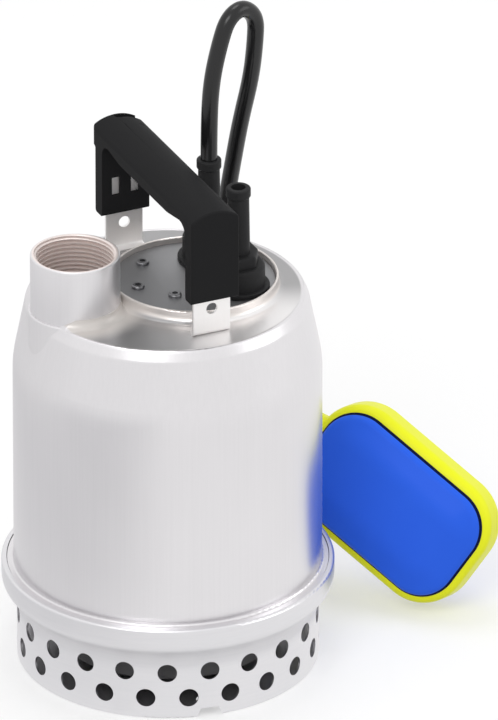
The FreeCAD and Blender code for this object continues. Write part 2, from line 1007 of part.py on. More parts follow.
def make_gland_boot():
    body = new_body("gland_boot", x=gland_x)
    low = size("gland_body_top")
    high = size("gland_block_top")
    radius = size("gland_block_radius")
    half = radius * 0.5
    rise = radius * 0.866
    sketch = new_sketch(body, "XY_Plane", (0, 0, low))
    draw_outline(
        sketch,
        [
            (radius, -outlet_y, 2),
            (radius, outlet_y, 2),
            (half, outlet_y + rise, 2),
            (-half, outlet_y + rise, 2),
            (-radius, outlet_y, 2),
            (-radius, -outlet_y, 2),
            (-half, -outlet_y - rise, 2),
            (half, -outlet_y - rise, 2),
        ],
    )
    add_pad(body, sketch, high - low)
    round_edges(body, 1.5, level_edge(high))
    plug_depth = 5
    sketch = new_sketch(body, "XY_Plane", (0, 0, low))
    draw_oblong(sketch, as_size(0), as_size(0), outlet_y, radius - 3)
    add_pad(body, sketch, plug_depth, reverse=True)
    lip = size("outlet_lip_start")
    top = size("outlet_top")
    for side, bore in ((-1, size("mains_bore")), (1, size("float_cable"))):
        sketch = new_sketch(body, "XZ_Plane", (0, 0, -side * outlet_y))
        draw_outline(
            sketch,
            [
                (0, high - 1),
                (size("outlet_base") / 2, high - 1),
                (size("outlet_base") / 2, high),
                (size("outlet_neck") / 2, lip - 1),
                (size("outlet_lip") / 2, lip, 0.5),
                (size("outlet_lip") / 2, top, 1),
                (0, top),
            ],
        )
        add_turn(body, sketch)
        depth = top - low + plug_depth if side < 0 else size("cable_seat")
        sketch = new_sketch(body, "XY_Plane", (0, 0, top))
        draw_circle(sketch, 0, side * outlet_y, bore / 2)
        add_pocket(body, sketch, depth)
    return body


def make_contact_block():
    body = new_body("contact_block", x=gland_x)
    base = cover_bottom - 10
    sketch = new_sketch(body, "XY_Plane", (0, 0, base))
    draw_box(sketch, as_size(8), as_size(18), 2)
    add_pad(body, sketch, cover_bottom - base)
    sketch = new_sketch(body, "XY_Plane", (0, 0, cover_bottom))
    draw_oblong(sketch, as_size(0), as_size(0), as_size(9), 7)
    add_pad(body, sketch, size("cover_thickness"))
    for pin in range(-2, 3):
        sketch = new_sketch(body, "XY_Plane", (0, 0, size("cover_top")))
        draw_circle(sketch, 0, pin * 6.0, 1.5)
        add_pocket(body, sketch, 12)
    return body


def make_contact_pins():
    low = size("cover_top").value - 12
    length = 18
    pin = Part.makeCylinder(1.5, length, Vector(0, 0, low))
    places = [Placement(Vector(gland_x.value, i * 6.0, 0), Rotation()) for i in range(-2, 3)]
    return add_group("contact_pins", copies_at(pin, places))


# Inlet strainer, a pressed cup with a flared rim that snaps over the sleeve's foot.
def make_strainer():
    outer = size("strainer_radius")
    wall = size("strainer_wall")
    rim = size("rim_radius")
    rim_inner = rim - wall
    rim_top = size("rim_top")
    seat = size("plate_bottom")
    floor = size("strainer_floor")
    flare = size("flare_start")
    body = turned_part(
        "inlet_strainer",
        [
            (0, floor),
            (outer - size("foot_ring") - 2, floor, 1.5),
            (outer - size("foot_ring"), 0, 0.8),
            (outer, 0, 1.2),
            (outer, flare, size("flare_bend")),
            (rim, size("rim_start") - 1, size("rim_bend")),
            (rim, rim_top, 1.3),
            (size("rim_lip"), rim_top),
            (size("rim_lip"), rim_top - 1.1),
            (rim_inner, rim_top - 2.6),
            (rim_inner, seat),
            (plate_radius - 2, seat, 1),
            (outer - wall, flare + 2.5, 4),
            (outer - wall, floor + wall, 0.7),
            (0, floor + wall),
        ],
    )
    half_pitch = 180 / size("hole_count")
    for height, turn in ((size("lower_row"), as_size(0)), (size("upper_row"), half_pitch)):
        sketch = new_sketch(body, "XZ_Plane", turn=turn)
        draw_circle(sketch, 0, height, size("hole_bore") / 2)
        holes = add_pocket(body, sketch, outer + 10, reverse=True)
        add_ring_pattern(body, [holes], size("hole_count"))
    start = outer - size("notch_depth")
    turn = -half_pitch
    shift = (start * sine(turn), 0, start * cosine(turn))
    sketch = new_sketch(body, "XZ_Plane", shift, turn)
    half_wide = size("notch_wide") / 2
    half_top = size("notch_top") / 2
    tall = size("notch_tall")
    draw_outline(
        sketch,
        [(-half_wide, -1), (half_wide, -1), (half_top, tall, 1), (-half_top, tall, 1)],
    )
    add_pocket(body, sketch, size("notch_depth") + 5, reverse=True)
    circle = size("floor_hole_circle")
    sketch = new_sketch(body, "XY_Plane")
    spot = (circle * sine(turn), -circle * cosine(turn))
    draw_circle(sketch, *spot, size("floor_hole_bore") / 2)
    add_pocket(body, sketch, floor + wall + 1, reverse=True)
    return body


# Casing plate between the motor and the pump casing, with a kidney port for the water.
def sector_outline(sketch, inner, outer, half_angle):
    up = Vector(0, 0, 1)
    half = math.radians(half_angle.value)
    arcs = []
    for radius in (inner, outer):
        circle = Part.Circle(Vector(), up, radius.value)
        arcs.append(
            sketch.addGeometry(
                Part.ArcOfCircle(circle, math.pi - half, math.pi + half), False
            )
        )
    cos_half = cosine(half_angle)
    sin_half = sine(half_angle)
    lines = []
    for sign in (1, -1):
        ends = [
            Vector(-radius.value * cos_half.value, sign * radius.value * sin_half.value, 0)
            for radius in (inner, outer)
        ]
        lines.append(sketch.addGeometry(Part.LineSegment(*ends), False))
    for arc, radius in zip(arcs, (inner, outer)):
        sketch.addConstraint(Sketcher.Constraint("Coincident", arc, 3, -1, 1))
        fix_radius(sketch, arc, radius)
    for end, line in ((1, lines[0]), (2, lines[1])):
        for point, arc in ((1, arcs[0]), (2, arcs[1])):
            sketch.addConstraint(Sketcher.Constraint("Coincident", arc, end, line, point))
    for sign, line in zip((1, -1), lines):
        for point, radius in ((1, inner), (2, outer)):
            height = sign * radius * sin_half
            index = sketch.addConstraint(
                Sketcher.Constraint("DistanceY", -1, 1, line, point, height.value)
            )
            bind(sketch, f"Constraints[{index}]", height)


def make_casing_plate():
    low = size("plate_bottom")
    high = plate_top
    body = turned_part(
        "casing_plate",
        [(0, low), (plate_radius, low, 1), (plate_radius, high), (0, high)],
    )
    section = size("seal_section")
    sketch = new_sketch(body, "XZ_Plane")
    groove = size("sleeve_radius") - 0.3
    draw_outline(sketch, ring_corners(groove, groove + section, high - 2, high + 1))
    add_turn(body, sketch, cut=True)
    spigot_top = high + size("spigot_height")
    sketch = new_sketch(body, "XY_Plane", (0, 0, high - 1))
    draw_circle(sketch, motor_x, 0, can_inner)
    add_pad(body, sketch, spigot_top - high + 1)
    sketch = new_sketch(body, "XY_Plane", (0, 0, spigot_top))
    draw_circle(sketch, motor_x, 0, can_inner - 6)
    add_pocket(body, sketch, size("spigot_height"))
    sketch = new_sketch(body, "XY_Plane", (0, 0, high))
    draw_circle(sketch, motor_x, 0, size("seal_seat_radius"))
    add_pocket(body, sketch, high - size("seal_seat_base"))
    sketch = new_sketch(body, "XY_Plane", (0, 0, high))
    draw_circle(sketch, motor_x, 0, size("shaft_low") / 2 + 2)
    add_pocket(body, sketch, high - low + 2)
    sketch = new_sketch(body, "XY_Plane", (0, 0, low))
    sector_outline(sketch, size("port_inner"), size("port_outer"), size("port_half_angle"))
    add_pocket(body, sketch, high - low, reverse=True)
    depth = 5
    sketch = new_sketch(body, "XY_Plane", (0, 0, low))
    draw_circle(sketch, size("casing_screw_circle"), 0, 2)
    hole = add_pocket(body, sketch, depth, reverse=True)
    add_ring_pattern(body, [hole], size("casing_screw_count"))
    return body


def make_casing_seal():
    section = size("seal_section")
    groove = size("sleeve_radius") - 0.3
    return turned_part(
        "casing_seal",
        ring_corners(groove, groove + section, plate_top - 2, plate_top, 0.6),
    )


def make_pump_casing():
    outer = size("casing_radius")
    inner = outer - size("casing_wall")
    low = size("casing_bottom")
    floor_top = low + size("casing_floor")
    high = size("plate_bottom")
    flange_low = high - size("casing_flange_thick")
    body = turned_part(
        "pump_casing",
        [
            (0, low),
            (outer, low, 4),
            (outer, flange_low),
            (size("casing_flange"), flange_low),
            (size("casing_flange"), high),
            (inner, high),
            (inner, floor_top, 2.5),
            (0, floor_top),
        ],
    )
    sketch = new_sketch(body, "XY_Plane", (0, 0, low - 2.5))
    draw_circle(sketch, motor_x, 0, size("inlet_bore") / 2 + 3)
    add_pad(body, sketch, 3)
    sketch = new_sketch(body, "XY_Plane", (0, 0, low - 3))
    draw_circle(sketch, motor_x, 0, size("inlet_bore") / 2)
    add_pocket(body, sketch, size("casing_floor") + 4, reverse=True)
    sketch = new_sketch(body, "XY_Plane", (0, 0, flange_low))
    draw_circle(sketch, size("casing_screw_circle"), 0, 2)
    hole = add_pocket(body, sketch, size("casing_flange_thick"), reverse=True)
    add_ring_pattern(body, [hole], size("casing_screw_count"))
    return body


def make_casing_screws():
    flange = size("casing_flange_thick")
    screw = socket_screw("casing_screw", as_size(3.2), as_size(3), as_size(2), flange + 4.5)
    doc.recompute()
    seat = (size("plate_bottom") - flange).value
    count = size("casing_screw_count").value
    turn = Placement(Vector(), Rotation(Vector(1, 0, 0), 180))
    places = [
        place.multiply(turn)
        for place in ring_places(count, size("casing_screw_circle").value, seat)
    ]
    return add_group("casing_screws", copies_at(screw.Shape, places))


# Rotating group

def make_impeller():
    shroud = size("shroud_bottom")
    top = shroud + size("shroud_thick")
    radius = size("impeller_radius")
    hub = size("hub_radius")
    bore = size("shaft_thread") / 2
    low_bore = size("shaft_low") / 2
    hub_low = size("hub_bottom")
    body = turned_part(
        "impeller",
        [
            (bore, hub_low),
            (hub - 2, hub_low, 1),
            (hub, shroud - 2, 4),
            (radius, shroud, 0.8),
            (radius, top, 0.8),
            (hub, top),
            (hub, top + 4, 1),
            (low_bore, top + 4),
            (low_bore, hub_low + 5),
            (bore, hub_low + 5),
        ],
        x=motor_x,
    )
    sketch = new_sketch(body, "XY_Plane", (0, 0, size("vane_bottom")))
    add_vane_outline(sketch, hub + 3, radius - 0.5, size("vane_thick"))
    vane = add_pad(body, sketch, shroud - size("vane_bottom") + 0.5)
    add_ring_pattern(body, [vane], size("vane_count"))
    return body


# A vane swept back between two arcs that share their ends' spacing.
def add_vane_outline(sketch, start, end, thick):
    sweep = 50.0
    bulge = 4.0
    turn = math.radians(sweep)
    tip = Vector(end.value * math.cos(turn), end.value * math.sin(turn), 0)
    root = Vector(start.value, 0, 0)
    along = (tip - root).normalize()
    side = Vector(-along.y, along.x, 0)
    middle = (root + tip) * 0.5 - side * bulge
    half = side * (thick.value / 2)
    inner = Part.Arc(root + half, middle + half, tip + half)
    outer = Part.Arc(root - half, middle - half, tip - half)
    lines = [
        Part.LineSegment(root + half, root - half),
        Part.LineSegment(tip + half, tip - half),
    ]
    indices = [sketch.addGeometry(curve, False) for curve in [inner, outer] + lines]
    sketch.addConstraint(Sketcher.Constraint("Block", indices[0]))
    sketch.addConstraint(Sketcher.Constraint("Block", indices[1]))
    for line in indices[2:]:
        sketch.addConstraint(Sketcher.Constraint("Block", line))


def make_impeller_nut():
    top = size("hub_bottom")
    height = size("nut_height")
    radius = size("shaft_thread")
    body = new_body("impeller_nut", x=motor_x)
    sketch = new_sketch(body, "XY_Plane", (0, 0, top))
    corners = []
    for i in range(6):
        angle = math.radians(60 * i)
        corners.append((radius * math.cos(angle), radius * math.sin(angle)))
    draw_outline(sketch, corners)
    add_pad(body, sketch, height, reverse=True)
    sketch = new_sketch(body, "XY_Plane", (0, 0, top))
    draw_circle(sketch, 0, 0, size("shaft_thread") / 2)
    add_pocket(body, sketch, height)
    return body


def make_shaft():
    thread = size("shaft_thread") / 2
    low = size("shaft_low") / 2
    lower = size("shaft_lower_seat") / 2
    middle = size("shaft_rotor_seat") / 2
    upper = size("shaft_upper_seat") / 2
    bearing_top = size("lower_bearing_base") + size("lower_bearing_wide")
    end = size("upper_bearing_base") + size("upper_bearing_wide")
    return turned_part(
        "shaft",
        [
            (0, size("hub_bottom") - size("nut_height") - 1.5),
            (thread, size("hub_bottom") - size("nut_height") - 1.5, 0.8),
            (thread, size("hub_bottom") + 5),
            (low, size("hub_bottom") + 5),
            (low, size("lower_bearing_base") - 2),
            (lower, size("lower_bearing_base") - 2),
            (lower, bearing_top),
            (middle, bearing_top),
            (middle, size("upper_bearing_base")),
            (upper, size("upper_bearing_base")),
            (upper, end, 0.6),
            (0, end),
        ],
        x=motor_x,
    )


def make_rotor_core():
    seat = size("shaft_rotor_seat") / 2
    outer = size("stator_bore") / 2 - size("air_gap")
    return turned_part(
        "rotor_core",
        ring_corners(seat, outer, size("core_base"), core_top),
        x=motor_x,
    )


# Cast end rings with short cooling fins.
def make_rotor_end_rings():
    rings = []
    outer = size("stator_bore") / 2 - size("air_gap") - 1.5
    rise = size("end_ring_rise")
    for label, low, fin_side in (
        ("lower_end_ring", size("core_base") - rise, -1),
        ("upper_end_ring", core_top, 1),
    ):
        body = turned_part(
            label,
            ring_corners(outer - 9, outer, low, low + rise),
            x=motor_x,
            node=False,
        )
        base = low if fin_side < 0 else low + rise
        sketch = new_sketch(body, "XY_Plane", (0, 0, base))
        draw_box(sketch, as_size(3.5), as_size(0.9), None, outer - 4.5, 0)
        fin = add_pad(body, sketch, 3.5, reverse=fin_side < 0)
        add_ring_pattern(body, [fin], as_size(8))
        rings.append(body)
    doc.recompute()
    return add_group("rotor_end_rings", [ring.Shape for ring in rings])


# Ball bearing: two grooved rings, and a cage with its balls.
def make_bearing(name, bore, outer, base, wide, circle, count):
    middle = base + wide / 2
    pitch = circle / 2
    groove = size("ball_size") / 2 + size("race_play")
    land = size("ball_size") / 2 - 0.9
    for kind, low, high in (
        ("inner", bore, pitch - land),
        ("outer", pitch + land, outer),
    ):
        body = turned_part(
            f"{name}_bearing_{kind}_ring",
            ring_corners(low, high, base, base + wide),
            x=motor_x,
        )
        sketch = new_sketch(body, "XZ_Plane")
        draw_circle(sketch, pitch, middle, groove)
        add_turn(body, sketch, cut=True)
    ball = Part.makeSphere(size("ball_size").value / 2)
    places = ring_places(count.value, pitch.value, middle.value, motor_x.value)
    cage = Part.makeCylinder(pitch.value + 1.2, 3.6).cut(
        Part.makeCylinder(pitch.value - 1.2, 3.6)
    )
    cage.translate(Vector(motor_x.value, 0, middle.value - 1.8))
    pocket = Part.makeSphere(size("ball_size").value / 2)
    balls = copies_at(ball, places)
    cage = cage.cut(Part.makeCompound(copies_at(pocket, places)))
    return add_group(f"{name}_bearing_balls", balls + cage.Solids)


def make_seal_seat():
    return turned_part(
        "shaft_seal_seat",
        ring_corners(
            size("shaft_low") / 2 + 1.5,
            size("seal_seat_radius"),
            size("seal_seat_base"),
            size("seal_seat_top"),
            0.5,
        ),
        x=motor_x,
    )


def make_seal_ring():
    low = size("seal_seat_top") + size("seal_gap")
    high = size("seal_ring_top")
    bore = size("shaft_low") / 2
    outer = size("seal_ring_radius")
    return turned_part(
        "shaft_seal_ring",
        [
            (bore, low + 1),
            (bore + 2, low + 1),
            (bore + 2, low),
            (outer, low),
            (outer, low + 3, 0.5),
            (outer - 2, low + 4.5, 0.5),
            (outer - 0.5, low + 6.5, 0.5),
            (outer - 2, high, 0.5),
            (bore, high),
        ],
        x=motor_x,
    )


# Motor

def make_stator_core():
    bore = size("stator_bore") / 2
    body = turned_part(
        "stator_core",
        ring_corners(bore, can_inner, size("core_base"), core_top),
        x=motor_x,
    )
    sketch = new_sketch(body, "XY_Plane", (0, 0, size("core_base")))
    depth = size("slot_depth")
    centre = bore + 2 + depth / 2
    draw_box(sketch, depth / 2, size("slot_wide") / 2, 0.8, centre, 0)
    slot = add_pocket(body, sketch, size("core_length"), reverse=True)
    add_ring_pattern(body, [slot], size("slot_count"))
    sketch = new_sketch(body, "XY_Plane", (0, 0, size("core_base")))
    draw_circle(sketch, size("tie_circle"), 0, size("tie_bore") / 2)
    hole = add_pocket(body, sketch, size("core_length"), reverse=True)
    add_ring_pattern(body, [hole], as_size(4))
    return body


def make_stator_winding():
    bore = size("stator_bore") / 2
    depth = size("slot_depth")
    rise = size("winding_rise")
    slot_start = bore + 2
    inner = slot_start - 0.5
    outer = slot_start + depth
    body = new_body("stator_winding", x=motor_x)
    sketch = new_sketch(body, "XZ_Plane")
    low = size("core_base")
    draw_outline(
        sketch,
        [
            (inner, low),
            (inner, low - rise, 4),
            (outer + 2.5, low - rise, 4),
            (outer + 2.5, low),
        ],
    )
    draw_outline(
        sketch,
        [
            (inner, core_top),
            (outer + 2.5, core_top),
            (outer + 2.5, core_top + rise, 4),
            (inner, core_top + rise, 4),
        ],
    )
    body.AllowCompound = True
    add_turn(body, sketch)
    sketch = new_sketch(body, "XY_Plane", (0, 0, low))
    draw_box(sketch, depth / 2, size("slot_wide") / 2, 0.8, slot_start + depth / 2, 0)
    bar = add_pad(body, sketch, size("core_length"))
    add_ring_pattern(body, [bar], size("slot_count"))
    return body


def make_lower_bracket():
    base = size("lower_bracket_base")
    plate = base + size("bracket_thick")
    seat = size("lower_bearing_base")
    hub_top = seat + size("lower_bearing_wide") + 1
    bearing = size("lower_bearing_outer") / 2
    body = turned_part(
        "lower_bearing_bracket",
        [
            (bearing - 4, base),
            (can_inner, base),
            (can_inner, plate),
            (bearing + 4, plate, 2),
            (bearing + 4, hub_top, 0.6),
            (bearing, hub_top),
            (bearing, seat),
            (bearing - 4, seat),
        ],
        x=motor_x,
    )
    add_tie_holes(body, base, size("bracket_thick"))
    return body


def add_tie_holes(body, base, depth):
    sketch = new_sketch(body, "XY_Plane", (0, 0, base))
    draw_circle(sketch, size("tie_circle"), 0, size("tie_bore") / 2)
    hole = add_pocket(body, sketch, depth, reverse=True)
    add_ring_pattern(body, [hole], as_size(4))


def make_upper_bracket():
    base = size("upper_bracket_base")
    seat = size("upper_bearing_base")
    bearing = size("upper_bearing_outer") / 2
    body = turned_part(
        "upper_bearing_bracket",
        [
            (bearing + 0, base),
            (can_inner, base),
            (can_inner, upper_bracket_top),
            (bearing + 4, upper_bracket_top, 2),
            (bearing + 4, upper_hub_top, 1),
            (0, upper_hub_top),
            (0, seat + size("upper_bearing_wide") + 0.5),
            (bearing, seat + size("upper_bearing_wide") + 0.5),
        ],
        x=motor_x,
    )
    add_tie_holes(body, base, size("bracket_thick"))
    return body


def make_motor_ties():
    low = size("lower_bracket_base")
    length = upper_bracket_top - low
    bolt = socket_screw(
        "motor_tie", as_size(3.4), as_size(3.2), size("tie_bore") / 2, length
    )
    doc.recompute()
    places = ring_places(
        4, size("tie_circle").value, upper_bracket_top.value, motor_x.value
    )
    return add_group("motor_tie_bolts", copies_at(bolt.Shape, places))


def capacitor_height():
    return upper_hub_top + size("clip_thick") + size("capacitor_radius") + 1


def make_capacitor():
    body = new_body("capacitor", x=size("capacitor_offset"))
    sketch = new_sketch(body, "XZ_Plane")
    draw_circle(sketch, 0, capacitor_height(), size("capacitor_radius"))
    add_pad(body, sketch, size("capacitor_length"), symmetric=True)
    round_edges(body, 1.5, lambda edge: hasattr(edge.Curve, "Radius"))
    return body


def make_capacitor_clip():
    body = new_body("capacitor_clip", x=size("capacitor_offset"))
    radius = size("capacitor_radius")
    middle = capacitor_height()
    sketch = new_sketch(body, "XZ_Plane")
    draw_circle(sketch, 0, middle, radius + size("clip_thick"))
    add_pad(body, sketch, size("clip_wide"), symmetric=True)
    sketch = new_sketch(body, "XZ_Plane")
    foot = (middle - radius - upper_hub_top) / 2
    draw_box(sketch, as_size(9), foot + 0.5, None, 3, upper_hub_top + foot + 0.5)
    add_pad(body, sketch, size("clip_wide"), symmetric=True)
    sketch = new_sketch(body, "XZ_Plane")
    draw_circle(sketch, 0, middle, radius)
    add_pocket(body, sketch, size("clip_wide") + 2, symmetric=True)
    return body


def make_thermal_protector():
    body = new_body("thermal_protector", x=motor_x)
    sketch = new_sketch(body, "XY_Plane", (0, 0, upper_bracket_top))
    draw_box(sketch, as_size(9), as_size(5), 1, 32, 0)
    add_pad(body, sketch, 5.5)
    round_edges(body, 1, level_edge(upper_bracket_top + 5.5))
    return body


# Float switch, in its own frame: x from neck to tip, y across and z out of the front.
def float_place():
    return Placement(
        Vector(
            size("float_place_x").value,
            size("float_place_y").value,
            size("float_place_z").value,
        ),
        Rotation(
            size("float_yaw").value, size("float_pitch").value, size("float_roll").value
        ),
    )


def float_body(label, turned=False, node=True):
    body = doc.addObject("PartDesign::Body", label)
    body.Label = label
    place = float_place()
    if turned:
        place = place.multiply(Placement(Vector(), Rotation(Vector(1, 0, 0), 180)))
    body.Placement = place
    if node:
        nodes.append(body)
    return body


def make_float_band():
    body = float_body("float_band")
    long = size("float_long") / 2
    wide = size("float_wide") / 2
    thick = size("band_thick")
    sketch = new_sketch(body, "XY_Plane")
    draw_box(sketch, long, wide, size("float_corner"))
    add_pad(body, sketch, thick, symmetric=True)
    round_edges(
        body,
        5,
        lambda edge: near(abs(edge.BoundBox.Center.z), thick / 2),
    )
    root = new_sketch(body, "YZ_Plane", (0, 0, 5 - long))
    draw_box(root, size("neck_root_wide") / 2, size("neck_root_thick") / 2, 8)
    tip = new_sketch(body, "YZ_Plane", (0, 0, -long - size("neck_length")))
    end = size("neck_end") / 2
    draw_box(tip, end, end, end - 0.2)
    add_loft(body, root, tip)
    sketch = new_sketch(body, "XY_Plane", (0, 0, -thick))
    half_long = long - size("band_edge_long")
    half_wide = wide - size("band_edge_wide")
    draw_box(sketch, half_long, half_wide, size("shell_corner"))
    add_pocket(body, sketch, thick * 2, reverse=True)
    sketch = new_sketch(body, "YZ_Plane", (0, 0, -long - size("neck_length")))
    draw_circle(sketch, 0, 0, size("neck_bore") / 2)
    add_pocket(body, sketch, size("neck_length") + 15, reverse=True)
    return body


def make_float_shell(label, turned):
    body = float_body(label, turned)
    long = size("float_long") / 2 - size("band_edge_long")
    wide = size("float_wide") / 2 - size("band_edge_wide")
    rise = size("shell_rise")
    drop = size("shell_bevel_drop")
    bevel = size("shell_bevel")
    corner = size("shell_corner")
    sketch = new_sketch(body, "XY_Plane")
    draw_box(sketch, long, wide, corner)
    add_pad(body, sketch, rise - drop)
    low = new_sketch(body, "XY_Plane", (0, 0, rise - drop))
    draw_box(low, long, wide, corner)
    high = new_sketch(body, "XY_Plane", (0, 0, rise))
    draw_box(high, long - bevel, wide - bevel, corner - bevel)
    add_loft(body, low, high)
    round_edges(body, size("shell_shoulder"), level_edge(rise - drop))
    round_edges(body, size("shell_crown"), level_edge(rise))
    wall = size("shell_wall")
    sketch = new_sketch(body, "XY_Plane")
    draw_box(sketch, long - wall, wide - wall, corner - wall)
    add_pocket(body, sketch, rise - drop - wall / 2, reverse=True)
    roof = rise - drop - wall / 2
    if turned:
        add_shell_seats(body, roof)
    return body


# Ribs on the back shell that carry the switch and the ball's tube.
def add_shell_seats(body, roof):
    tube = size("tube_bore") / 2 + size("tube_wall")
    switch_x = -size("tube_start") - 6 - size("switch_long") / 2
    sketch = new_sketch(body, "XY_Plane", (0, 0, size("switch_thick") / 2))
    draw_box(sketch, size("switch_long") / 2 - 3, size("switch_wide") / 2 - 4, 1, switch_x, 0)
    add_pad(body, sketch, roof - size("switch_thick") / 2 + 0.5)
    for x in (-size("tube_start") + 8, size("tube_length") - size("tube_start") - 8):
        sketch = new_sketch(body, "XY_Plane", (0, 0, tube - 3))
        draw_box(sketch, as_size(1.2), tube - 1.5, 0.4, x, 0)
        add_pad(body, sketch, roof - tube + 3.5)
    sketch = new_sketch(body, "YZ_Plane", (0, 0, -size("tube_start")))
    draw_circle(sketch, 0, 0, tube)
    add_pocket(body, sketch, size("tube_length"), reverse=True)


def make_float_seal():
    body = float_body("float_cable_seal")
    long = size("float_long") / 2
    sketch = new_sketch(body, "YZ_Plane", (0, 0, -long - size("neck_length")))
    draw_circle(sketch, 0, 0, size("neck_bore") / 2)
    add_pad(body, sketch, size("neck_length") - 2)
    sketch = new_sketch(body, "YZ_Plane", (0, 0, -long - size("neck_length")))
    draw_circle(sketch, 0, 0, size("neck_seal_bore") / 2)
    add_pocket(body, sketch, size("neck_length"), reverse=True)
    return body


def make_float_switch():
    body = float_body("float_switch_body")
    middle = -size("tube_start") - 6 - size("switch_long") / 2
    thick = size("switch_thick")
    sketch = new_sketch(body, "XY_Plane")
    draw_box(sketch, size("switch_long") / 2, size("switch_wide") / 2, 1.5, middle, 0)
    add_pad(body, sketch, thick, symmetric=True)
    sketch = new_sketch(body, "XY_Plane", (0, 0, thick / 2))
    draw_box(sketch, as_size(3), as_size(6), 0.5, -size("tube_start") - 4.4, 0)
    add_pad(body, sketch, 2)
    return body


# A paddle that hangs from the top of the switch in front of the ball's tube.
def make_switch_lever():
    body = float_body("float_switch_lever")
    high = size("switch_thick") / 2 - 0.3
    front = -size("tube_start") - 2
    sketch = new_sketch(body, "XZ_Plane")
    draw_outline(
        sketch,
        [(front - 1, -6), (front, -6), (front, high), (front - 1, high)],
    )
    add_pad(body, sketch, 8, symmetric=True)
    return body


def make_ball_tube():
    body = float_body("float_ball_tube")
    bore = size("tube_bore") / 2
    sketch = new_sketch(body, "YZ_Plane", (0, 0, -size("tube_start")))
    draw_circle(sketch, 0, 0, bore + size("tube_wall"))
    add_pad(body, sketch, size("tube_length"))
    sketch = new_sketch(body, "YZ_Plane", (0, 0, -size("tube_start")))
    draw_circle(sketch, 0, 0, bore)
    add_pocket(body, sketch, size("tube_length") - 1.5, reverse=True)
    return body


def make_float_ball():
    body = float_body("float_ball")
    radius = size("float_ball") / 2
    rest_x = size("tube_length") - size("tube_start") - 1.5 - radius - 0.2
    sketch = new_sketch(body, "XZ_Plane", (rest_x, 0, 0))
    value = radius.value
    arc = Part.ArcOfCircle(
        Part.Circle(Vector(), Vector(0, 0, 1), value), -math.pi / 2, math.pi / 2
    )
    sketch.addGeometry(arc, False)
    sketch.addGeometry(Part.LineSegment(Vector(0, value, 0), Vector(0, -value, 0)), False)
    sketch.addConstraint(Sketcher.Constraint("Coincident", 0, 3, -1, 1))
    sketch.addConstraint(Sketcher.Constraint("Coincident", 0, 2, 1, 1))
    sketch.addConstraint(Sketcher.Constraint("Coincident", 0, 1, 1, 2))
    sketch.addConstraint(Sketcher.Constraint("Vertical", 1))
    fix_radius(sketch, 0, radius)
    add_turn(body, sketch)
    return body


# Float cable: straight runs joined by tangent arcs along the chosen route.
def make_float_cable():
    neck_x = -(size("float_long") / 2 + size("neck_length")).value
    neck = float_place().multVec(Vector(neck_x, 0, 0))
    before_neck = float_place().multVec(Vector(neck_x - CABLE_LEAD_OUT, 0, 0))
    points = [Vector(*spot) for spot in CABLE_ROUTE] + [before_neck, neck]
    radius = size("float_cable").value / 2
    edges = []
    start = points[0]
    radii = []
    for before, corner, after in zip(points, points[1:], points[2:]):
        inward = (before - corner).normalize()
        outward = (after - corner).normalize()
        half_turn = (math.pi - inward.getAngle(outward)) / 2
        run = min((before - corner).Length, (after - corner).Length)
        cut = BEND_SHARE * run
        bend = cut / math.tan(half_turn)
        radii.append(bend)
        first = corner + inward * cut
        last = corner + outward * cut
        centre_way = (inward + outward).normalize()
        centre = corner + centre_way * (bend / math.cos(half_turn))
        middle = centre - centre_way * bend
        edges.append(Part.LineSegment(start, first).toShape())
        edges.append(Part.Arc(first, middle, last).toShape())
        start = last
    edges.append(Part.LineSegment(start, points[-1]).toShape())
    path = Part.Wire(edges)
    ring = Part.Wire([Part.makeCircle(radius, points[0], points[1] - points[0])])
    tube = path.makePipeShell([ring], True, False)
    solid = tube if tube.ShapeType == "Solid" else Part.makeSolid(tube)
    print("cable bend radii", [round(bend, 1) for bend in radii])
    print("cable length", round(path.Length, 1))
    expected = math.pi * radius**2 * path.Length
    if abs(solid.Volume / expected - 1) > 0.01:
        raise ValueError("the cable's volume isn't its section times its length")
    cable = doc.addObject("Part::Feature", "float_cable")
    cable.Label = "float_cable"
    cable.Shape = solid
    cable.Placement = Placement()
    nodes.append(cable)
    return cable


make_sleeve()
make_discharge_socket()
make_motor_can()
make_top_cover()
make_cover_screws()
handle_strap = make_handle_strap()
make_handle_grip(handle_strap)
make_gland_gasket()
make_gland_housing()
make_gland_boot()
make_contact_block()
make_contact_pins()
make_strainer()
make_casing_plate()
make_casing_seal()
make_pump_casing()
make_casing_screws()
make_impeller()
make_impeller_nut()
make_shaft()
make_rotor_core()
make_rotor_end_rings()
make_bearing(
    "lower",
    size("shaft_lower_seat") / 2,
    size("lower_bearing_outer") / 2,
    size("lower_bearing_base"),
    size("lower_bearing_wide"),
    size("lower_ball_circle"),
    size("lower_ball_count"),
)
make_bearing(
    "upper",
    size("shaft_upper_seat") / 2,
    size("upper_bearing_outer") / 2,
    size("upper_bearing_base"),
    size("upper_bearing_wide"),
    size("upper_ball_circle"),
    size("upper_ball_count"),
)
make_seal_seat()
make_seal_ring()
make_stator_core()
make_stator_winding()
make_lower_bracket()
make_upper_bracket()
make_motor_ties()
make_capacitor()
make_capacitor_clip()
make_thermal_protector()
make_float_band()
make_float_shell("float_front_shell", False)
make_float_shell("float_back_shell", True)
make_float_seal()
make_float_switch()
make_switch_lever()
make_ball_tube()
make_float_ball()
make_float_cable()

doc.recompute()
for thing in doc.Objects:
    if "Invalid" in thing.State or "Error" in thing.State:
        raise ValueError(f"{thing.Label} is {thing.State}")
os.makedirs("parts", exist_ok=True)
for node in nodes:
    shape = node.Shape
    if shape.isNull() or not shape.isValid() or not shape.Solids:
        raise ValueError(f"{node.Label} has no valid solid")
for node in nodes:
    node.Shape.exportStep(f"parts/{node.Label}.step")
print(len(nodes), "nodes written")
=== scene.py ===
import math

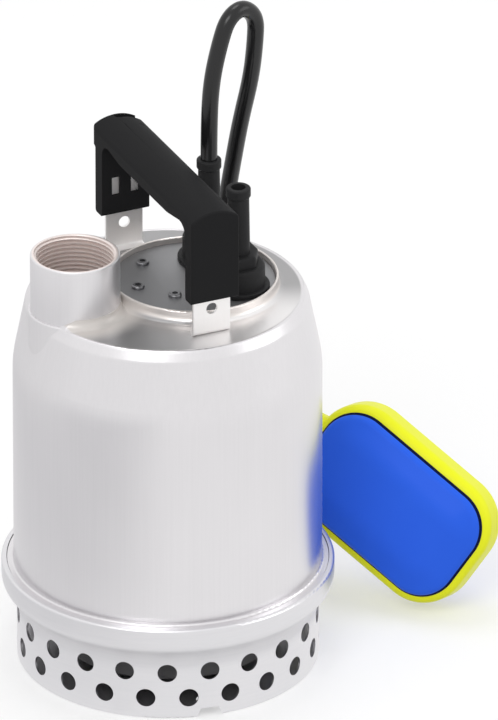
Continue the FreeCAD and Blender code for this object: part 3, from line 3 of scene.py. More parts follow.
import bpy
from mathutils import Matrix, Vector


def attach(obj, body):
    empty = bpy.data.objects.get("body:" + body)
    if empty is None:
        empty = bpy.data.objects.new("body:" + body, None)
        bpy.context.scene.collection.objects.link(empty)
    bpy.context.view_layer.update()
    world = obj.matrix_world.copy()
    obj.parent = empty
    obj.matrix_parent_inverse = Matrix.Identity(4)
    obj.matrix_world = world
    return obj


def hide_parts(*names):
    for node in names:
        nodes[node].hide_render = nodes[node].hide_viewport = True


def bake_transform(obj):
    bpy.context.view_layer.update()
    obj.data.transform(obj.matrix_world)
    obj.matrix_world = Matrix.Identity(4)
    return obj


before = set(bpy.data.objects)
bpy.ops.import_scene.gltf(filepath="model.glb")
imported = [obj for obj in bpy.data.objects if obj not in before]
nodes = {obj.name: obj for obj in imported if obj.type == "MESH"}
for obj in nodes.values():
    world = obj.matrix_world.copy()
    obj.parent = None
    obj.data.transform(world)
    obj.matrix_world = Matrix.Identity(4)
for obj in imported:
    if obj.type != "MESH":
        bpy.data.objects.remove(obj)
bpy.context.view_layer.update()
mm = 0.001
smoothAngle = math.radians(28)  # edges sharper than this stay sharp


# Camera: the photograph looks down from the front left, nearly without perspective.
camera = {
    "lens": 1000,  # mm
    "distance": 10.0,
    "clipEnd": 100,
    "target": (0.0371, -0.0169, 0.1628),
    "back": (-0.3698, -0.8115, 0.4524),
}


def makeCamera():
    data = bpy.data.cameras.new("camera")
    data.lens = camera["lens"]
    data.clip_end = camera["clipEnd"]
    view = bpy.data.objects.new("camera", data)
    bpy.context.scene.collection.objects.link(view)
    back = Vector(camera["back"]).normalized()
    view.location = Vector(camera["target"]) + back * camera["distance"]
    view.rotation_mode = "QUATERNION"
    view.rotation_quaternion = (-back).to_track_quat("-Z", "Y")
    bpy.context.scene.camera = view


makeCamera()
print("camera placed")


# Modelling helpers
def deselectAll():
    for thing in bpy.context.selected_objects:
        thing.select_set(False)


def makeActive(thing):
    deselectAll()
    thing.select_set(True)
    bpy.context.view_layer.objects.active = thing


def applyModifiers(thing):
    makeActive(thing)
    for modifier in list(thing.modifiers):
        bpy.ops.object.modifier_apply(modifier=modifier.name)


def applyPlace():
    bpy.ops.object.transform_apply(location=True, rotation=True, scale=True)


def addCylinder(sides, radius, depth, place):
    deselectAll()
    bpy.ops.mesh.primitive_cylinder_add(
        vertices=sides, radius=radius, depth=depth, location=place
    )
    applyPlace()
    return bpy.context.object


# a box from its lowest to its highest corner, in mm
def addBlock(low, high):
    deselectAll()
    middle = [(a + b) / 2 * mm for a, b in zip(low, high)]
    lengths = [(b - a) * mm for a, b in zip(low, high)]
    bpy.ops.mesh.primitive_cube_add(size=1, location=middle, scale=lengths)
    applyPlace()
    return bpy.context.object


# starts and ends in edit mode
def selectWhere(mesh, test):
    bpy.ops.mesh.select_all(action="DESELECT")
    bpy.ops.object.mode_set(mode="OBJECT")
    for vertex in mesh.vertices:
        vertex.select = test(vertex.co)
    bpy.ops.object.mode_set(mode="EDIT")


def combine(piece, operation, other):
    step = piece.modifiers.new("step", "BOOLEAN")
    step.operation = operation
    step.solver = "EXACT"
    step.object = other
    applyModifiers(piece)


# Float cable: out of the gland's far outlet, over in one bend and down behind the pump.
cable = {
    "diameter": 8.5 * mm,
    "length": 0.369,
    "exit": (0.0309, 0.0177, 0.261),
    "route": [  # mm, the same corners as the solid's
        (30.9, 17.7, 259.0),
        (30.9, 17.7, 281.0),
        (32.8, 18.8, 303.0),
        (37.9, 19.9, 322.5),
        (42.5, 20.4, 335.0),
        (52.1, 23.6, 338.5),
        (60.7, 26.3, 330.0),
        (60.7, 27.5, 315.0),
        (60.5, 31.8, 294.0),
        (58.1, 38.9, 268.0),
        (57.0, 45.5, 243.0),
        (55.9, 51.5, 218.0),
        (57.0, 62.5, 190.0),
        (59.8, 75.5, 160.3),
        (65.4, 84.7, 134.4),
        (74.2, 83.5, 112.1),
        (84.69, 74.13, 95.12),
        (94.65, 59.75, 85.42),
    ],
    "bendStart": (0.0598, 0.0755, 0.1603),  # the route's corner where the bend down towards the float starts
    "steps": 14,  # along the curve, for each corner
    "sides": 10,
}


def makeCableLine():
    data = bpy.data.curves.new("floatCableLine", "CURVE")
    data.dimensions = "3D"
    data.resolution_u = cable["steps"]
    spline = data.splines.new("NURBS")
    spline.points.add(len(cable["route"]) - 1)
    for point, place in zip(spline.points, cable["route"]):
        point.co = (*(Vector(place) * mm), 1)
    spline.order_u = 3
    spline.use_endpoint_u = True
    line = bpy.data.objects.new("floatCableLead", data)
    bpy.context.scene.collection.objects.link(line)
    return line


def makeCable():
    line = makeCableLine()
    centres = bpy.data.meshes.new_from_object(line)
    line.data.bevel_depth = cable["diameter"] / 2
    line.data.bevel_resolution = cable["sides"]
    line.data.use_fill_caps = True
    makeActive(line)
    bpy.ops.object.convert(target="MESH")
    lead = bpy.context.object
    lead.name = "floatCableLead"
    for polygon in lead.data.polygons:
        polygon.use_smooth = True
    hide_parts("float_cable")
    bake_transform(lead)
    return lead


cableLead = makeCable()
print("float cable laid")


# Threaded socket: 1 1/4 inch parallel pipe thread, cut into a plain tube.
socket = {
    "centre": -50.3 * mm,
    "outer": 22.5 * mm,
    "bottom": 190 * mm,
    "top": 233 * mm,
    "edge": 1.0 * mm,
    "edgeSteps": 3,
    "crest": 19.475 * mm,
    "root": 20.95 * mm,
    "pitch": 25.4 / 11 * mm,
    "crestHalf": 0.46,  # half widths of the thread's groove, in pitches
    "rootHalf": 0.06,
    "overlap": 0.4 * mm,
    "turns": 22,
    "turnsBelow": 2,
    "boreDepth": 60 * mm,
    "lead": 1.2 * mm,
    "hair": 0.1 * mm,
    "weld": 0.001 * mm,
    "sides": 96,
}


def makeSocketTube():
    height = socket["top"] - socket["bottom"]
    place = (socket["centre"], 0, socket["bottom"] + height / 2)
    tube = addCylinder(socket["sides"], socket["outer"], height, place)
    bevel = tube.modifiers.new("edge", "BEVEL")
    bevel.width = socket["edge"]
    bevel.segments = socket["edgeSteps"]
    bevel.limit_method = "ANGLE"
    applyModifiers(tube)
    return tube


def makeBoreCutter():
    lead = socket["lead"]
    top = socket["top"] - lead
    place = (socket["centre"], 0, top - socket["boreDepth"] / 2)
    cutter = addCylinder(socket["sides"], socket["crest"], socket["boreDepth"], place)
    bpy.ops.object.mode_set(mode="EDIT")
    selectWhere(cutter.data, lambda co: co.z > top - socket["hair"])
    # the mouth opens in a cone to just past the thread's root
    widening = (socket["crest"] + 2 * lead) / socket["crest"]
    middle = (socket["centre"], 0, socket["top"])
    bpy.ops.mesh.extrude_region_move(TRANSFORM_OT_translate={"value": (0, 0, 2 * lead)})
    bpy.ops.transform.resize(value=(widening, widening, 1), center_override=middle)
    bpy.ops.object.mode_set(mode="OBJECT")
    return cutter


# the groove's profile wound up into a screw and closed at its ends
def makeThreadCutter():
    pitch = socket["pitch"]
    inside = socket["crest"] - socket["overlap"]
    deselectAll()
    bpy.ops.mesh.primitive_plane_add(size=1, location=(0, 0, 0))
    cutter = bpy.context.object
    for vertex in cutter.data.vertices:
        atRoot = vertex.co.x > 0
        radius = socket["root"] if atRoot else inside
        half = socket["rootHalf"] if atRoot else socket["crestHalf"]
        vertex.co = (radius, 0, math.copysign(half * pitch, vertex.co.y))
    screw = cutter.modifiers.new("thread", "SCREW")
    screw.axis = "Z"
    screw.steps = screw.render_steps = socket["sides"]
    screw.iterations = socket["turns"]
    screw.screw_offset = pitch
    screw.use_normal_calculate = True
    applyModifiers(cutter)
    bpy.ops.object.mode_set(mode="EDIT")
    bpy.ops.mesh.select_all(action="SELECT")
    bpy.ops.mesh.remove_doubles(threshold=socket["weld"])
    bpy.ops.mesh.select_all(action="DESELECT")
    bpy.ops.mesh.select_non_manifold()
    bpy.ops.mesh.edge_face_add()
    bpy.ops.mesh.select_all(action="SELECT")
    bpy.ops.mesh.normals_make_consistent(inside=False)
    bpy.ops.object.mode_set(mode="OBJECT")
    bottom = socket["bottom"] - socket["turnsBelow"] * pitch
    cutter.location = (socket["centre"], 0, bottom)
    applyPlace()
    return cutter


def makeSocket():
    tube = makeSocketTube()
    for cutter in (makeBoreCutter(), makeThreadCutter()):
        combine(tube, "DIFFERENCE", cutter)
        bpy.data.objects.remove(cutter)
    makeActive(tube)
    bpy.ops.object.shade_smooth_by_angle(angle=smoothAngle)
    tube.name = "threadedSocket"
    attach(tube, "pump")
    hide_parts("discharge_socket")
    return tube


threadedSocket = makeSocket()
print("socket threaded", len(threadedSocket.data.polygons), "faces")


# Grip: the cable's groove leaves the crown through its far corner, as in the photo.
gripShape = {
    "block": ((-20, -70, 210), (20, 75, 280)),  # mm, two corners round the whole grip
    "crown": ((-20, 36, 267), (20, 46, 280)),  # plain crown that closes the solid's groove
    "crownShift": 13 * mm,
    "grooveEnd": (1.0 * mm, 60.9 * mm),
    "grooveRadius": 2.5 * mm,
    "grooveFloor": 266.5 * mm,
    "grooveDepth": 14 * mm,
    "grooveLength": 16 * mm,
    "grooveSides": 48,
    "hair": 0.01 * mm,
    "flatAngle": math.radians(0.6),  # faces that turn less than this become one
}


def makeGrooveCutter():
    x, y = gripShape["grooveEnd"]
    depth = gripShape["grooveDepth"]
    place = (x, y, gripShape["grooveFloor"] + depth / 2)
    cutter = addCylinder(gripShape["grooveSides"], gripShape["grooveRadius"], depth, place)
    bpy.ops.object.mode_set(mode="EDIT")
    selectWhere(cutter.data, lambda co: co.x > x + gripShape["hair"])
    bpy.ops.transform.translate(value=(gripShape["grooveLength"], 0, 0))
    bpy.ops.object.mode_set(mode="OBJECT")
    return cutter


def makeGrip():
    solid = nodes["handle_grip"]
    grip = addBlock(*gripShape["block"])
    combine(grip, "INTERSECT", solid)
    crown = addBlock(*gripShape["crown"])
    combine(crown, "INTERSECT", solid)
    crown.location.y = gripShape["crownShift"]
    makeActive(crown)
    applyPlace()
    groove = makeGrooveCutter()
    combine(grip, "UNION", crown)
    combine(grip, "DIFFERENCE", groove)
    for tool in (crown, groove):
        bpy.data.objects.remove(tool)
    makeActive(grip)
    bpy.ops.object.mode_set(mode="EDIT")
    bpy.ops.mesh.select_all(action="SELECT")
    bpy.ops.mesh.remove_doubles(threshold=gripShape["hair"])
    bpy.ops.mesh.dissolve_limited(angle_limit=gripShape["flatAngle"])
    bpy.ops.object.mode_set(mode="OBJECT")
    bpy.ops.object.shade_smooth_by_angle(angle=smoothAngle)
    even = grip.modifiers.new("even", "WEIGHTED_NORMAL")
    even.keep_sharp = True
    applyModifiers(grip)
    grip.name = "mouldedGrip"
    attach(grip, "pump")
    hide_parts("handle_grip")
    return grip


mouldedGrip = makeGrip()
print("grip cut", len(mouldedGrip.data.polygons), "faces")


# Shader helpers. Values add their own Math nodes when they are used in an expression.
class Value:
    def __init__(self, surface, socket):
        self.surface = surface
        self.socket = socket

    def math(self, operation, *others):
        inputs = dict(enumerate((self, *others)))
        return self.surface.add("ShaderNodeMath", {"operation": operation}, inputs)

    def __add__(self, other):
        return self.math("ADD", other)

    __radd__ = __add__

    def __mul__(self, other):
        return self.math("MULTIPLY", other)

    def __sub__(self, other):
        return self.math("SUBTRACT", other)

    def __rsub__(self, other):
        return (self * -1) + other

    def __truediv__(self, other):
        return self.math("DIVIDE", other)

    def __abs__(self):
        return self.math("ABSOLUTE")

    # how far from zero the point (self, other) lies
    def reach(self, other):
        return (self * self + other * other).math("POWER", 0.5)

    # first where this is 0, second where it is 1
    def between(self, first, second):
        return self * (second - first) + first

    # 0 below low, 1 above high, smooth between
    def rise(self, low, high):
        settings = {"interpolation_type": "SMOOTHSTEP"}
        inputs = {"Value": self, "From Min": low, "From Max": high}
        return self.surface.add("ShaderNodeMapRange", settings, inputs)

    def within(self, low, high, soft):
        return self.rise(low - soft, low) * (1 - self.rise(high, high + soft))


class Surface:
    def __init__(self, name, **constants):
        self.material = bpy.data.materials.new(name)
        self.material.use_nodes = True
        self.tree = self.material.node_tree
        self.shader = self.tree.nodes["Principled BSDF"]
        for socket, value in constants.items():
            self.shader.inputs[socket.replace("_", " ")].default_value = value

    def add(self, kind, settings=None, inputs=None, output=0):
        node = self.tree.nodes.new(kind)
        for key, value in (settings or {}).items():
            setattr(node, key, value)
        for key, value in (inputs or {}).items():
            if isinstance(value, Value):
                self.tree.links.new(value.socket, node.inputs[key])
            else:
                node.inputs[key].default_value = value
        return Value(self, node.outputs[output])

    def feed(self, socket, value):
        self.tree.links.new(value.socket, self.shader.inputs[socket])

    def place(self):
        return self.add("ShaderNodeTexCoord", output="Object")

    def axes(self):
        split = self.add("ShaderNodeSeparateXYZ", inputs={0: self.place()})
        return [Value(self, output) for output in split.socket.node.outputs]

    # noise about 1/scale metres across along each axis
    def noise(self, scale, detail):
        stretched = {"Vector": self.place(), "Scale": scale}
        stretched = self.add("ShaderNodeMapping", inputs=stretched)
        grain = {"Vector": stretched, "Scale": 1.0, "Detail": detail}
        return self.add("ShaderNodeTexNoise", inputs=grain)

    # first where the share is 0, second where it is 1
    def mixColours(self, share, first, second):
        inputs = {"Factor": share, 6: first, 7: second}
        return self.add("ShaderNodeMix", {"data_type": "RGBA"}, inputs, output=2)

    def bump(self, height, distance, strength):
        inputs = {"Height": height, "Distance": distance, "Strength": strength}
        self.feed("Normal", self.add("ShaderNodeBump", inputs=inputs))


def cover(piece, surface):
    piece.data.materials.clear()
    piece.data.materials.append(surface.material)


def paint(nodeNames, surface):
    for name in nodeNames:
        cover(nodes[name], surface)


# screen colour, 0 to 255, as linear light
def linear(red, green, blue):
    def one(value):
        value /= 255
        if value <= 0.04045:
            return value / 12.92
        return ((value + 0.055) / 1.055) ** 2.4

    return (one(red), one(green), one(blue), 1)


# Satin stainless: fine drawn streaks along the wall, a little uneven in gloss.
stainless = {
    "dark": linear(220, 218, 220),
    "light": linear(234, 232, 234),
    "wall": (900, 900, 14),  # streaks per metre, along x, y and z
    "streakDetail": 4,
    "streakShare": 0.45,
    "streakGloss": 0.08,
    "cloud": (22, 22, 16),
    "cloudDetail": 2,
    "cloudGloss": 0.05,
    "meanGloss": 0.06,
    "depth": 0.00002,
    "relief": 0.5,
}


# a steel with its streaks, their colour and their roughness, before it is finished
def drawSteel(name, look):
    steel = Surface(name, Metallic=1.0)
    grain = steel.noise(look["streaks"], stainless["streakDetail"])
    cloud = steel.noise(stainless["cloud"], stainless["cloudDetail"])
    share = grain * stainless["streakShare"] + cloud * (1 - stainless["streakShare"])
    colour = steel.mixColours(share, look["dark"], look["light"])
    uneven = grain * stainless["streakGloss"] + cloud * stainless["cloudGloss"]
    return steel, grain, colour, uneven + (look["roughness"] - stainless["meanGloss"])


def finishSteel(steel, relief, colour, roughness):
    steel.bump(relief, stainless["depth"], stainless["relief"])
    steel.feed("Base Color", colour)
    steel.feed("Roughness", roughness)
    return steel


# The ledge round the top cover is painted darker, as painted shade, and brighter towards one
# side, as a painted highlight.
sleeveLook = {
    "streaks": stainless["wall"],
    "dark": stainless["dark"],
    "light": stainless["light"],
    "roughness": 0.3,
    "ledgeLow": 0.2008,
    "ledgeHigh": 0.212,
    "soft": 0.0007,
    # painted shade over the ledge, and a painted highlight towards one side
    "ledgePaintedShade": linear(168, 167, 168),
    "ledgePaintedHighlight": linear(240, 238, 238),
    "ledgeRoughness": 0.33,
    "ledgeMetallic": 0.72,
    "ledgeSmooth": 0.7,
    "ridgeInside": 0.0662,
    "ridgeOutside": 0.0672,
    # the collar is painted a bright warm white, as a painted highlight
    "collarLow": 0.2034,
    "collarPaintedHighlight": linear(232, 226, 222),
    "paintedHighlightSide": (0.419, -0.908),
    "paintedHighlightStart": 0.66,
    "paintedHighlightEnd": 0.99,
    "bossInside": 0.027,  # round the socket's axis, where the boss runs into the shoulder
    "bossOutside": 0.040,
    "bossLow": 0.14,
    "bossHigh": 0.172,
    "bossRough": 0.2,
    "bossDull": 0.55,
    # the ledge round the socket's foot is painted an even light beige, as a painted highlight
    "footPaintedHighlight": linear(216, 211, 207),
}


def makeSleeveSteel():
    look = sleeveLook
    steel, grain, colour, gloss = drawSteel("sleeveSteel", look)
    x, y, z = steel.axes()
    radius = x.reach(y)
    ledge = z.within(look["ledgeLow"], look["ledgeHigh"], look["soft"])
    ledge = ledge * (1 - radius.rise(look["ridgeInside"], look["ridgeOutside"]))
    # the ledge's colour is painted shade, lightened towards one side by a painted highlight
    facing = (x * look["paintedHighlightSide"][0] + y * look["paintedHighlightSide"][1]) / radius
    paintedHighlight = facing.rise(look["paintedHighlightStart"], look["paintedHighlightEnd"])
    paintedLedgeLight = steel.mixColours(paintedHighlight, look["ledgePaintedShade"], look["ledgePaintedHighlight"])
    # the collar is painted bright over the ledge, as a painted highlight
    collar = z.rise(look["collarLow"] - look["soft"], look["collarLow"] + look["soft"])
    paintedLedgeLight = steel.mixColours(collar, paintedLedgeLight, look["collarPaintedHighlight"])
    # round the socket's foot the ledge is painted light beige, as a painted highlight
    away = (x - socket["centre"]).reach(y)
    boss = 1 - away.rise(look["bossInside"], look["bossOutside"])
    paintedLedgeLight = steel.mixColours(boss, paintedLedgeLight, look["footPaintedHighlight"])
    boss = boss * z.rise(look["bossLow"], look["bossHigh"])
    gloss = gloss + boss * look["bossRough"]
    dull = ledge * (1 - look["ledgeMetallic"]) + boss * look["bossDull"]
    steel.feed("Metallic", 1 - dull)
    return finishSteel(
        steel,
        grain * (1 - ledge * look["ledgeSmooth"]),
        steel.mixColours(ledge, colour, paintedLedgeLight),
        ledge.between(gloss, look["ledgeRoughness"]),
    )


# The socket is drawn steel outside and brighter, freshly cut metal in its thread.
socketLook = {
    "streaks": stainless["wall"],
    "dark": stainless["dark"],
    "light": stainless["light"],
    "roughness": 0.36,
    "metallic": 0.75,
    "boreStart": 0.0213,
    "boreEnd": 0.0219,
    "cutColour": linear(240, 229, 225),
    "cutRoughness": 0.4,
    "cutMetallic": 0.55,
}


def makeSocketSteel():
    look = socketLook
    steel, grain, colour, gloss = drawSteel("socketSteel", look)
    x, y, z = steel.axes()
    radius = (x - socket["centre"]).reach(y)
    cut = 1 - radius.rise(look["boreStart"], look["boreEnd"])
    steel.feed("Metallic", cut.between(look["metallic"], look["cutMetallic"]))
    return finishSteel(
        steel,
        grain * (1 - cut),
        steel.mixColours(cut, colour, look["cutColour"]),
        cut.between(gloss, look["cutRoughness"]),
    )


# The pressed cup is duller in its flare, where the sheet was drawn out.
strainerLook = {
    "streaks": (60, 60, 900),
    "dark": linear(217, 217, 220),
    "light": stainless["light"],
    "roughness": 0.33,
    "flareLow": 0.030,
    "flareHigh": 0.039,
    "flareSoft": 0.005,
    "flareRoughness": 0.62,
    "flareMetallic": 0.55,
}


def makeStrainerSteel():
    look = strainerLook
    steel, grain, colour, gloss = drawSteel("strainerSteel", look)
    z = steel.axes()[2]
    flare = z.within(look["flareLow"], look["flareHigh"], look["flareSoft"])
    steel.feed("Metallic", flare.between(1, look["flareMetallic"]))
    return finishSteel(steel, grain, colour, flare.between(gloss, look["flareRoughness"]))


# The strap is brighter and duller than the plain sheet.
sheetLooks = {
    "strapSteel": {
        "streaks": (900, 900, 60),
        "dark": linear(244, 242, 241),
        "light": linear(252, 250, 249),
        "roughness": 0.5,
        "nodes": ["handle_strap"],
    },
    "sheetSteel": {
        "streaks": (900, 60, 60),
        "dark": stainless["dark"],
        "light": stainless["light"],
        "roughness": 0.28,
        "nodes": ["motor_can", "discharge_socket", "capacitor_clip"],
    },
}
paint(["pump_sleeve"], makeSleeveSteel())
paint(["inlet_strainer", "casing_plate"], makeStrainerSteel())
for name, look in sheetLooks.items():
    paint(look["nodes"], finishSteel(*drawSteel(name, look)))
cover(threadedSocket, makeSocketSteel())


# Top cover: duller and darker than the sleeve, with darker screws
coverLook = {
    "dark": linear(146, 146, 148),
    "light": linear(160, 160, 162),
    "cloud": (30, 30, 30),
    "grain": (1500, 1500, 1500),
    "detail": 2,
    "cloudShare": 0.7,
    "roughness": 0.46,
    "grainGloss": 0.1,
    "depth": 0.00002,
    "relief": 0.4,
}
screwLook = {
    "dark": linear(112, 112, 114),
    "light": linear(150, 150, 153),
    "grain": (700, 700, 700),
    "detail": 3,
    "roughness": 0.32,
    "grainGloss": 0.15,
}


def makeCoverMetal():
    look = coverLook
    metal = Surface("coverMetal", Metallic=1.0)
    cloud = metal.noise(look["cloud"], look["detail"])
    grain = metal.noise(look["grain"], look["detail"])
    share = cloud * look["cloudShare"] + grain * (1 - look["cloudShare"])
    metal.feed("Base Color", metal.mixColours(share, look["dark"], look["light"]))
    metal.feed("Roughness", grain * look["grainGloss"] + look["roughness"])
    metal.bump(grain, look["depth"], look["relief"])
    return metal


def makeScrewSteel():
    look = screwLook
    metal = Surface("screwSteel", Metallic=1.0)
    grain = metal.noise(look["grain"], look["detail"])
    metal.feed("Base Color", metal.mixColours(grain, look["dark"], look["light"]))
    metal.feed("Roughness", grain * look["grainGloss"] + look["roughness"])
    return metal


paint(["top_cover"], makeCoverMetal())
paint(["cover_screws", "casing_screws", "motor_tie_bolts", "impeller_nut"], makeScrewSteel())


# Moulded plastics and rubbers: a fine grain over a soft cloud
moulding = {
    "grainDetail": 3,
    "grainShare": 0.4,
    "grainGloss": 0.06,
    "cloud": (35, 35, 35),
    "cloudDetail": 2,
    "cloudGloss": 0.06,
    "meanGloss": 0.06,
    "relief": 0.6,
}
mouldedLooks = {
    "blackPlastic": {
        "colour": linear(34, 34, 35),
        "fleck": linear(40, 40, 41),
        "roughness": 0.55,
        "specular": 0.03,
        "grain": 2600,
        "depth": 0.00003,
        "nodes": ["handle_grip", "float_switch_body", "impeller"],
    },
    "mouldedRubber": {
        "colour": linear(41, 41, 42),
        "fleck": linear(47, 47, 48),
        "roughness": 0.5,
        "specular": 0.1,
        "grain": 2200,
        "depth": 0.00003,
        "nodes": ["gland_housing", "gland_boot"],
    },
    "cableRubber": {
        "colour": linear(22, 22, 23),
        "fleck": linear(27, 27, 28),
        "roughness": 0.24,
        "specular": 0.42,
        "grain": 1500,
        "depth": 0.00001,
        "nodes": [],
    },
    "sealRubber": {
        "colour": linear(24, 24, 25),
        "fleck": linear(34, 34, 35),
        "roughness": 0.55,
        "specular": 0.5,
        "grain": 900,
        "depth": 0.00003,
        "nodes": ["gland_gasket", "casing_seal", "float_cable_seal", "float_cable"],
    },
    "casingPlastic": {
        "colour": linear(126, 125, 127),
        "fleck": linear(136, 135, 137),
        "roughness": 0.5,
        "specular": 0.5,
        "grain": 900,
        "depth": 0.00003,
        "nodes": ["pump_casing"],
    },
    "whitePlastic": {
        "colour": linear(214, 212, 204),
        "fleck": linear(226, 224, 218),
        "roughness": 0.45,
        "specular": 0.5,
        "grain": 800,
        "depth": 0.00002,
        "nodes": ["contact_block", "thermal_protector", "capacitor", "float_ball_tube"],
    },
    "sealCeramic": {
        "colour": linear(196, 192, 184),
        "fleck": linear(208, 204, 196),
        "roughness": 0.3,
        "specular": 0.5,
        "grain": 600,
        "depth": 0.00001,
        "nodes": ["shaft_seal_seat"],
    },
}


def makeMoulded(name, look):
    plastic = Surface(name, Specular_IOR_Level=look["specular"])
    grain = plastic.noise((look["grain"], look["grain"], look["grain"]), moulding["grainDetail"])
    cloud = plastic.noise(moulding["cloud"], moulding["cloudDetail"])
    share = grain * moulding["grainShare"] + cloud * (1 - moulding["grainShare"])
    plastic.feed("Base Color", plastic.mixColours(share, look["colour"], look["fleck"]))
    uneven = grain * moulding["grainGloss"] + cloud * moulding["cloudGloss"]
    plastic.feed("Roughness", uneven + (look["roughness"] - moulding["meanGloss"]))
    plastic.bump(grain, look["depth"], moulding["relief"])
    return plastic


moulded = {name: makeMoulded(name, look) for name, look in mouldedLooks.items()}
for name, look in mouldedLooks.items():
    paint(look["nodes"], moulded[name])
cover(cableLead, moulded["cableRubber"])
cover(mouldedGrip, moulded["blackPlastic"])


# The float lies in its own plane; its shells meet the band in a thin dark gap.
floatLook = {
    "middle": (0.130, 0.0087, 0.051),
    "alongFloat": (0.49790, -0.71906, -0.48481),
    "acrossFloat": (0.55229, -0.16810, 0.81653),
    "straightLong": 0.029,
    "straightWide": 0.010,
    "corner": 0.020,
    "gapInside": -0.0003,
    "gapOutside": 0.0006,
    "gapSoft": 0.0001,
    "gapColour": linear(12, 22, 62),
    "gapDull": 0.4,
    "cloudGloss": 0.05,
    "meanGloss": 0.03,
}
floatPlastics = {
    "bluePlastic": {
        "colour": linear(48, 100, 233),
        "fleck": linear(52, 105, 237),
        "roughness": 0.24,
        "specular": 0.03,
        "nodes": ["float_front_shell", "float_back_shell"],
    },
    "yellowPlastic": {
        "colour": linear(238, 243, 36),
        "fleck": linear(242, 246, 44),
        "roughness": 0.36,
        "specular": 0.14,
        "nodes": ["float_band"],
    },
}


# the dark joint that follows the shells' outline, on the shell and on the band
def findGap(plastic):
    axes = plastic.axes()

    def past(direction, straight):
        parts = zip(axes, floatLook["middle"], direction)
        place = abs(sum((axis - middle) * share for axis, middle, share in parts))
        return (place - straight).math("MAXIMUM", 0.0)

    long = past(floatLook["alongFloat"], floatLook["straightLong"])
    wide = past(floatLook["acrossFloat"], floatLook["straightWide"])
    outside = long.reach(wide) - floatLook["corner"]
    return outside.within(floatLook["gapInside"], floatLook["gapOutside"], floatLook["gapSoft"])


def makeFloatPlastic(name, look):
    plastic = Surface(name, Specular_IOR_Level=look["specular"])
    gap = findGap(plastic)
    cloud = plastic.noise(moulding["cloud"], moulding["cloudDetail"])
    shell = plastic.mixColours(cloud, look["colour"], look["fleck"])
    plastic.feed("Base Color", plastic.mixColours(gap, shell, floatLook["gapColour"]))
    uneven = gap * floatLook["gapDull"] + cloud * floatLook["cloudGloss"]
    plastic.feed("Roughness", uneven + (look["roughness"] - floatLook["meanGloss"]))
    return plastic


for name, look in floatPlastics.items():
    paint(look["nodes"], makeFloatPlastic(name, look))


# Inner metals, seen when the part is opened
innerMetal = {
    "detail": 4,
    "grainGloss": 0.2,
    "meanGloss": 0.1,
    "depth": 0.00003,
    "relief": 0.4,
}
innerLooks = {
    "coreSteel": {
        "dark": linear(104, 104, 108),
        "light": linear(136, 136, 140),
        "roughness": 0.45,
        "grain": (60, 60, 2000),
        "nodes": ["stator_core", "rotor_core"],
    },
    "copperWire": {
        "dark": linear(176, 92, 48),
        "light": linear(214, 128, 78),
        "roughness": 0.35,
        "grain": (900, 900, 900),
        "nodes": ["stator_winding"],
    },
    "castAluminium": {
        "dark": linear(186, 186, 190),
        "light": linear(212, 212, 215),
        "roughness": 0.5,
        "grain": (420, 420, 420),
        "nodes": ["lower_bearing_bracket", "upper_bearing_bracket", "rotor_end_rings"],
    },
    "bearingSteel": {
        "dark": linear(206, 206, 208),
        "light": linear(222, 222, 224),
        "roughness": 0.18,
        "grain": (60, 60, 900),
        "nodes": [
            "lower_bearing_outer_ring",
            "upper_bearing_outer_ring",
            "lower_bearing_inner_ring",
            "upper_bearing_inner_ring",
            "lower_bearing_balls",
            "upper_bearing_balls",
            "shaft",
            "shaft_seal_ring",
            "float_ball",
            "float_switch_lever",
        ],
    },
    "brassPins": {
        "dark": linear(196, 160, 82),
        "light": linear(218, 186, 108),
        "roughness": 0.28,
        "grain": (500, 500, 500),
        "nodes": ["contact_pins"],
    },
}


def makeInnerMetal(name, look):
    metal = Surface(name, Metallic=1.0)
    grain = metal.noise(look["grain"], innerMetal["detail"])
    metal.feed("Base Color", metal.mixColours(grain, look["dark"], look["light"]))
    mean = look["roughness"] - innerMetal["meanGloss"]
    metal.feed("Roughness", grain * innerMetal["grainGloss"] + mean)
    metal.bump(grain, innerMetal["depth"], innerMetal["relief"])
    return metal


for name, look in innerLooks.items():
    paint(look["nodes"], makeInnerMetal(name, look))
print("finishes made")


# Pale floor, white surroundings and soft lamps
studio = {
    "white": (1, 1, 1, 1),
    "black": (0, 0, 0, 1),
    "floorSize": 8.0,
    "floorColour": (0.62, 0.62, 0.62, 1),
    "floorLift": (0.38, 0.38, 0.38, 1),
    "floorRoughness": 0.9,
    "floorSpecular": 0.1,
    "across": (0.91, -0.4147),  # the camera's right, along which the floor's far light fades
    "dusk": (0.76, 0.76, 0.77, 1),
    "duskStart": -0.26,
    "duskEnd": 0.04,
    "duskNear": 0.45,
    "duskFar": 1.3,
    "diffuseLevel": 0.72,
    "aim": (0.03, 0, 0.14),
    "lamps": [  # name, place, size, watts
        ("keyLamp", (-1.6, -1.8, 2.4), 1.6, 26),
        ("fillLamp", (2.4, -1.4, 1.4), 1.8, 12),
        ("topLamp", (0.2, 0.6, 2.6), 1.2, 10),
    ],
}


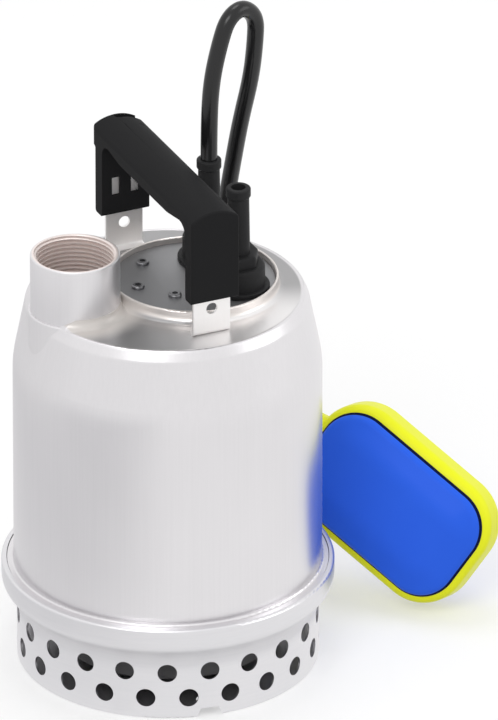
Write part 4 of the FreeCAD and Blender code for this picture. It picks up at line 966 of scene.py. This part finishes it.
# near white to the camera, with the object's shadow; in mirrors white, but for a darker near side
def makeFloorSurface():
    pale = Surface(
        "studioFloorPale",
        Roughness=studio["floorRoughness"],
        Specular_IOR_Level=studio["floorSpecular"],
        Emission_Strength=1.0,
    )
    seen = pale.add("ShaderNodeLightPath", output="Is Camera Ray")
    rays = seen.socket.node.outputs
    mirrored = Value(pale, rays["Is Glossy Ray"])
    mirrored = mirrored.math("MAXIMUM", Value(pale, rays["Is Transmission Ray"]))
    x, y, z = pale.axes()
    across = x * studio["across"][0] + y * studio["across"][1]
    light = across.rise(studio["duskStart"], studio["duskEnd"])
    far = x.reach(y).rise(studio["duskNear"], studio["duskFar"])
    shine = pale.mixColours(light.math("MAXIMUM", far), studio["dusk"], studio["white"])
    lift = pale.mixColours(seen, studio["black"], studio["floorLift"])
    pale.feed("Emission Color", pale.mixColours(mirrored, lift, shine))
    pale.feed("Base Color", pale.mixColours(mirrored, studio["floorColour"], studio["black"]))
    return pale


def makeFloor():
    deselectAll()
    bpy.ops.mesh.primitive_plane_add(size=studio["floorSize"], location=(0, 0, 0))
    floor = bpy.context.object
    floor.name = "studioFloor"
    cover(floor, makeFloorSurface())


# full white to the camera and in mirrors, dimmer where it only lights
def makeWorld():
    world = bpy.data.worlds.new("studioWorld")
    bpy.context.scene.world = world
    world.use_nodes = True
    tree = world.node_tree
    background = tree.nodes["Background"]
    background.inputs["Color"].default_value = studio["white"]
    path = tree.nodes.new("ShaderNodeLightPath")
    shown = path.outputs["Is Camera Ray"]
    for name in ("Is Glossy Ray", "Is Transmission Ray"):
        both = tree.nodes.new("ShaderNodeMath")
        both.operation = "MAXIMUM"
        tree.links.new(shown, both.inputs[0])
        tree.links.new(path.outputs[name], both.inputs[1])
        shown = both.outputs[0]
    level = tree.nodes.new("ShaderNodeMapRange")
    level.inputs["To Min"].default_value = studio["diffuseLevel"]
    level.inputs["To Max"].default_value = 1.0
    tree.links.new(shown, level.inputs["Value"])
    tree.links.new(level.outputs[0], background.inputs["Strength"])


def makeLamps():
    for name, place, size, watts in studio["lamps"]:
        data = bpy.data.lights.new(name, "AREA")
        data.shape = "DISK"
        data.size = size
        data.energy = watts
        lamp = bpy.data.objects.new(name, data)
        bpy.context.scene.collection.objects.link(lamp)
        lamp.location = place
        lamp.rotation_mode = "QUATERNION"
        toObject = Vector(studio["aim"]) - Vector(place)
        lamp.rotation_quaternion = toObject.to_track_quat("-Z", "Y")


makeFloor()
makeWorld()
makeLamps()
bpy.context.scene.view_settings.view_transform = "Standard"
print("studio lit")
